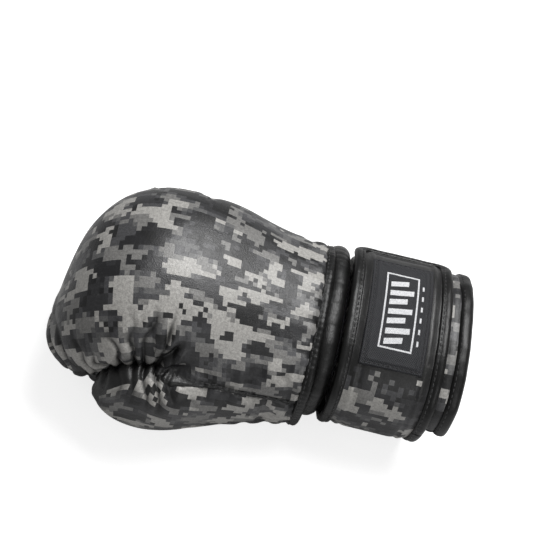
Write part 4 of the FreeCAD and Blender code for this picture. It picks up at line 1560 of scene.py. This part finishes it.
# ---------------------------------------------------------------------------
# Hem binding, seams of the hand, and what is inside the hand
# ---------------------------------------------------------------------------
def hem_ring(x, columns):
    """The joined outline at x, evenly spaced all round, with outward directions."""
    turn0, turn1 = np.array([0.0]), np.array([2 * math.pi])
    turn = even_ring(lambda t: joined_reach(np.array([[x]]), t), turn0, turn1, columns + 1)[:, :-1]
    ring = ring_points(np.array([[x]]), turn, joined_reach(np.array([[x]]), turn))[0]
    ring[:, 2] = on_table(ring[:, 2])
    ahead = np.roll(ring, -1, axis=0) - np.roll(ring, 1, axis=0)
    out = np.cross(ahead, np.array([1.0, 0, 0]))
    out /= np.linalg.norm(out, axis=1, keepdims=True)
    return ring, out


def make_hem():
    columns = 360
    ring, out = hem_ring(HEM_X - 4 * MM, columns)
    mid = ring.mean(0)
    if ((ring - mid) * out).sum() < 0:
        out = -out
    profile = [(-2.4, -1.8), (-2.3, -0.2), (-1.5, 0.5), (-0.4, 0.45), (0.6, 0.75), (2.0, 0.95), (3.2, 0.5),
               (4.0, -0.5), (4.3, -1.8), (4.1, -4.0), (3.0, -6.0), (0.4, -6.2), (-2.2, -4.6)]
    run = np.concatenate([[0], np.cumsum(np.linalg.norm(np.diff(ring, axis=0), axis=1))])
    grid = np.empty((columns, len(profile), 3))
    for j, (dx, h) in enumerate(profile):
        place = ring + np.array([dx * MM, 0, 0])
        pucker = 0.12 * np.cos(2 * math.pi * run / STITCH_PITCH) if h > -1 else 0
        bump = 0.16 * ripple(place, 13 * MM, 121) + pucker
        grid[:, j] = place + out * ((h + bump) * MM)[:, None]
    grid[..., 2] = np.maximum(grid[..., 2], 0.05 * MM)
    uv = np.stack(np.broadcast_arrays(run[:, None], np.arange(len(profile))[None, :] * 1.6 * MM), axis=-1)
    hem = grid_piece("hem_roll", grid, BINDING_LEATHER, uv, close_u=True, close_v=True)
    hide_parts("hem_binding")
    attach(hem, "hand")
    path = ring + np.array([-0.6 * MM, 0, 0]) + out * 0.5 * MM
    threads = stitching("hem_stitches", [stitch_row(path, out, closed=True)], THREAD)
    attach(threads, "hand")


def make_seam():
    """The stitched cord seam between the back cover and the thumb side."""
    x = np.linspace(-60 * MM, HEM_X - 9 * MM, 160)
    turn = seam_turn(x)
    r = joined_reach(x, turn)
    path = ring_points(x, turn, r)
    out = np.stack([0 * x, np.cos(turn), np.sin(turn)], axis=-1)
    out = out + np.array([0, -0.25, 0.35])
    out /= np.linalg.norm(out, axis=1, keepdims=True)
    row = stitch_row(path - out * 0.9 * MM, out, 3.0 * MM, 0.9 * MM, 0.42 * MM)
    threads = stitching("side_seam_stitches", [row], THREAD)
    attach(threads, "hand")


def make_inside():
    x = stations(FRONT_X + BAG_INSET, DOME_LENGTH - BAG_INSET, HEM_X + 1 * MM, 22, 44)
    outline = fist_outline(x[:, None], BAG_INSET, 42.2 * MM, 13.5 * MM)
    turn = np.linspace(0, 2 * math.pi, 96, endpoint=False)[None, :].repeat(len(x), 0)
    grid = points_round(x[:, None], turn, section_reach(turn, outline), outline)
    grid[..., 2] = soft_max(grid[..., 2], 0 * grid[..., 2] + 13.6 * MM, 3 * MM)
    u = np.repeat((x - x[0])[:, None], 96, axis=1)
    v = turn * 0.04
    grid = lift(grid, 0.5 * MM * ripple(grid, 24 * MM, 131))
    bag = grid_piece("hand_bag_cloth", grid, LINING, np.stack([u, v], axis=-1), close_v=True, flip=False)
    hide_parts("hand_lining")
    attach(bag, "hand")

    mid_x, mid_bar_z = (BAR_LOW.x + BAR_HIGH.x) / 2, (BAR_LOW.z + BAR_HIGH.z) / 2
    radius = (BAR_HIGH.x - BAR_LOW.x) / 2
    ys = np.linspace(BAR_LOW.y + 0.5 * MM, BAR_HIGH.y - 0.5 * MM, 60)
    turns = np.linspace(0, 2 * math.pi, 40, endpoint=False)
    y, t = np.meshgrid(ys, turns, indexing="ij")
    end = np.minimum(y - ys[0], ys[-1] - y)
    plump = radius * (0.82 + 0.16 * np.sqrt(smooth(end, -0.5 * MM, 9 * MM)))
    place = np.stack([mid_x + plump * np.cos(t), y, mid_bar_z + plump * np.sin(t)], axis=-1)
    plump = plump + 0.3 * MM * ripple(place, 12 * MM, 132)
    grid = np.stack([mid_x + plump * np.cos(t), y, mid_bar_z + plump * np.sin(t)], axis=-1)
    bar = grid_piece("grip_bar_cloth", grid, LINING, np.stack([y, t * radius], axis=-1), close_v=True, cap=True)
    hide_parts("grip_bar")
    finish_soft(bar)
    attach(bar, "hand")

    y0, y1 = TETHER_LOW.y - 2 * MM, TETHER_HIGH.y + 2 * MM
    ys = np.linspace(y0 - 4 * MM, y1, 14)
    xs = np.linspace(TETHER_LOW.x, TETHER_HIGH.x, 18)
    z0, z1 = TETHER_LOW.z, TETHER_HIGH.z
    y, x = np.meshgrid(ys, xs, indexing="ij")
    z = (z0 + z1) / 2 + 0.4 * MM * ripple(np.stack([x, y, 0 * x], axis=-1), 8 * MM, 133)
    thick = 1.0 * MM
    upper = np.stack([x, y, z + thick], axis=-1)
    lower = np.stack([x, y, z - thick], axis=-1)[:, ::-1]
    grid = np.concatenate([upper, lower], axis=1)
    strip = grid_piece("thumb_tether_strip", grid, BLACK_LEATHER, None, close_v=True, cap=True)
    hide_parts("thumb_tether")
    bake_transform(strip)


make_hem()
make_seam()
make_inside()


# ---------------------------------------------------------------------------
# Floor, light and camera
# ---------------------------------------------------------------------------
def make_stage():
    size, steps = 3.0, 24
    axis = np.linspace(-size, size, steps)
    y, x = np.meshgrid(axis, axis, indexing="ij")
    grid = np.stack([x, y, 0 * x], axis=-1)
    material, n, shader = new_material("pale_floor")
    where = n.add("ShaderNodeTexCoord").outputs["Object"]
    tone = n.ramp(n.noise(where, 3, 2, 0.5), [(0.3, (0.54, 0.54, 0.54, 1)), (0.7, (0.57, 0.57, 0.57, 1))])
    n.join(tone, shader.inputs["Base Color"])
    shader.inputs["Roughness"].default_value = 0.85
    shader.inputs["Emission Color"].default_value = (1, 1, 1, 1)
    seen = n.add("ShaderNodeLightPath").outputs["Is Camera Ray"]
    n.join(n.math("MULTIPLY", seen, 0.75), shader.inputs["Emission Strength"])
    floor = grid_piece("floor", grid, material, np.stack([x, y], axis=-1), flip=True)

    world = bpy.data.worlds.new("studio")
    bpy.context.scene.world = world
    world.use_nodes = True
    sky = Nodes(world.node_tree)
    background = world.node_tree.nodes["Background"]
    background.inputs["Color"].default_value = (1, 1, 1, 1)
    seen = sky.add("ShaderNodeLightPath").outputs["Is Camera Ray"]
    sky.join(sky.math("ADD", sky.math("MULTIPLY", seen, 0.74), 0.24), background.inputs["Strength"])

    def soft_light(name, place, target, size_m, power):
        light = bpy.data.lights.new(name, "AREA")
        light.shape = "RECTANGLE"
        light.size = size_m[0]
        light.size_y = size_m[1]
        light.energy = power
        lamp = bpy.data.objects.new(name, light)
        bpy.context.scene.collection.objects.link(lamp)
        lamp.location = place
        way = Vector(target) - Vector(place)
        lamp.rotation_euler = way.to_track_quat("-Z", "Y").to_euler()

    soft_light("top_softbox", (0.30, 0.45, 1.05), (0, 0, 0.05), (0.7, 0.55), 14)
    soft_light("front_fill", (0.5, -0.9, 0.7), (0, 0, 0.05), (0.5, 0.5), 2)


def place_camera():
    azimuth, elevation, roll = math.radians(-4), math.radians(60), math.radians(16.5)
    distance = 0.700
    target = Vector((-0.004, 0.054, 0.040))
    level = math.cos(elevation)
    back = Vector((math.sin(azimuth) * level, -math.cos(azimuth) * level, math.sin(elevation)))
    right = Vector((math.cos(azimuth), math.sin(azimuth), 0))
    up = back.cross(right)
    turned_right = right * math.cos(roll) + up * math.sin(roll)
    turned_up = up * math.cos(roll) - right * math.sin(roll)
    camera_data = bpy.data.cameras.new("camera")
    camera_data.angle = math.radians(30)
    camera = bpy.data.objects.new("camera", camera_data)
    bpy.context.scene.collection.objects.link(camera)
    place = target + back * distance
    turn = Matrix((turned_right, turned_up, back)).transposed()
    camera.matrix_world = Matrix.Translation(place) @ turn.to_4x4()
    bpy.context.scene.camera = camera


make_stage()
place_camera()
bpy.context.scene.view_settings.view_transform = "Standard"
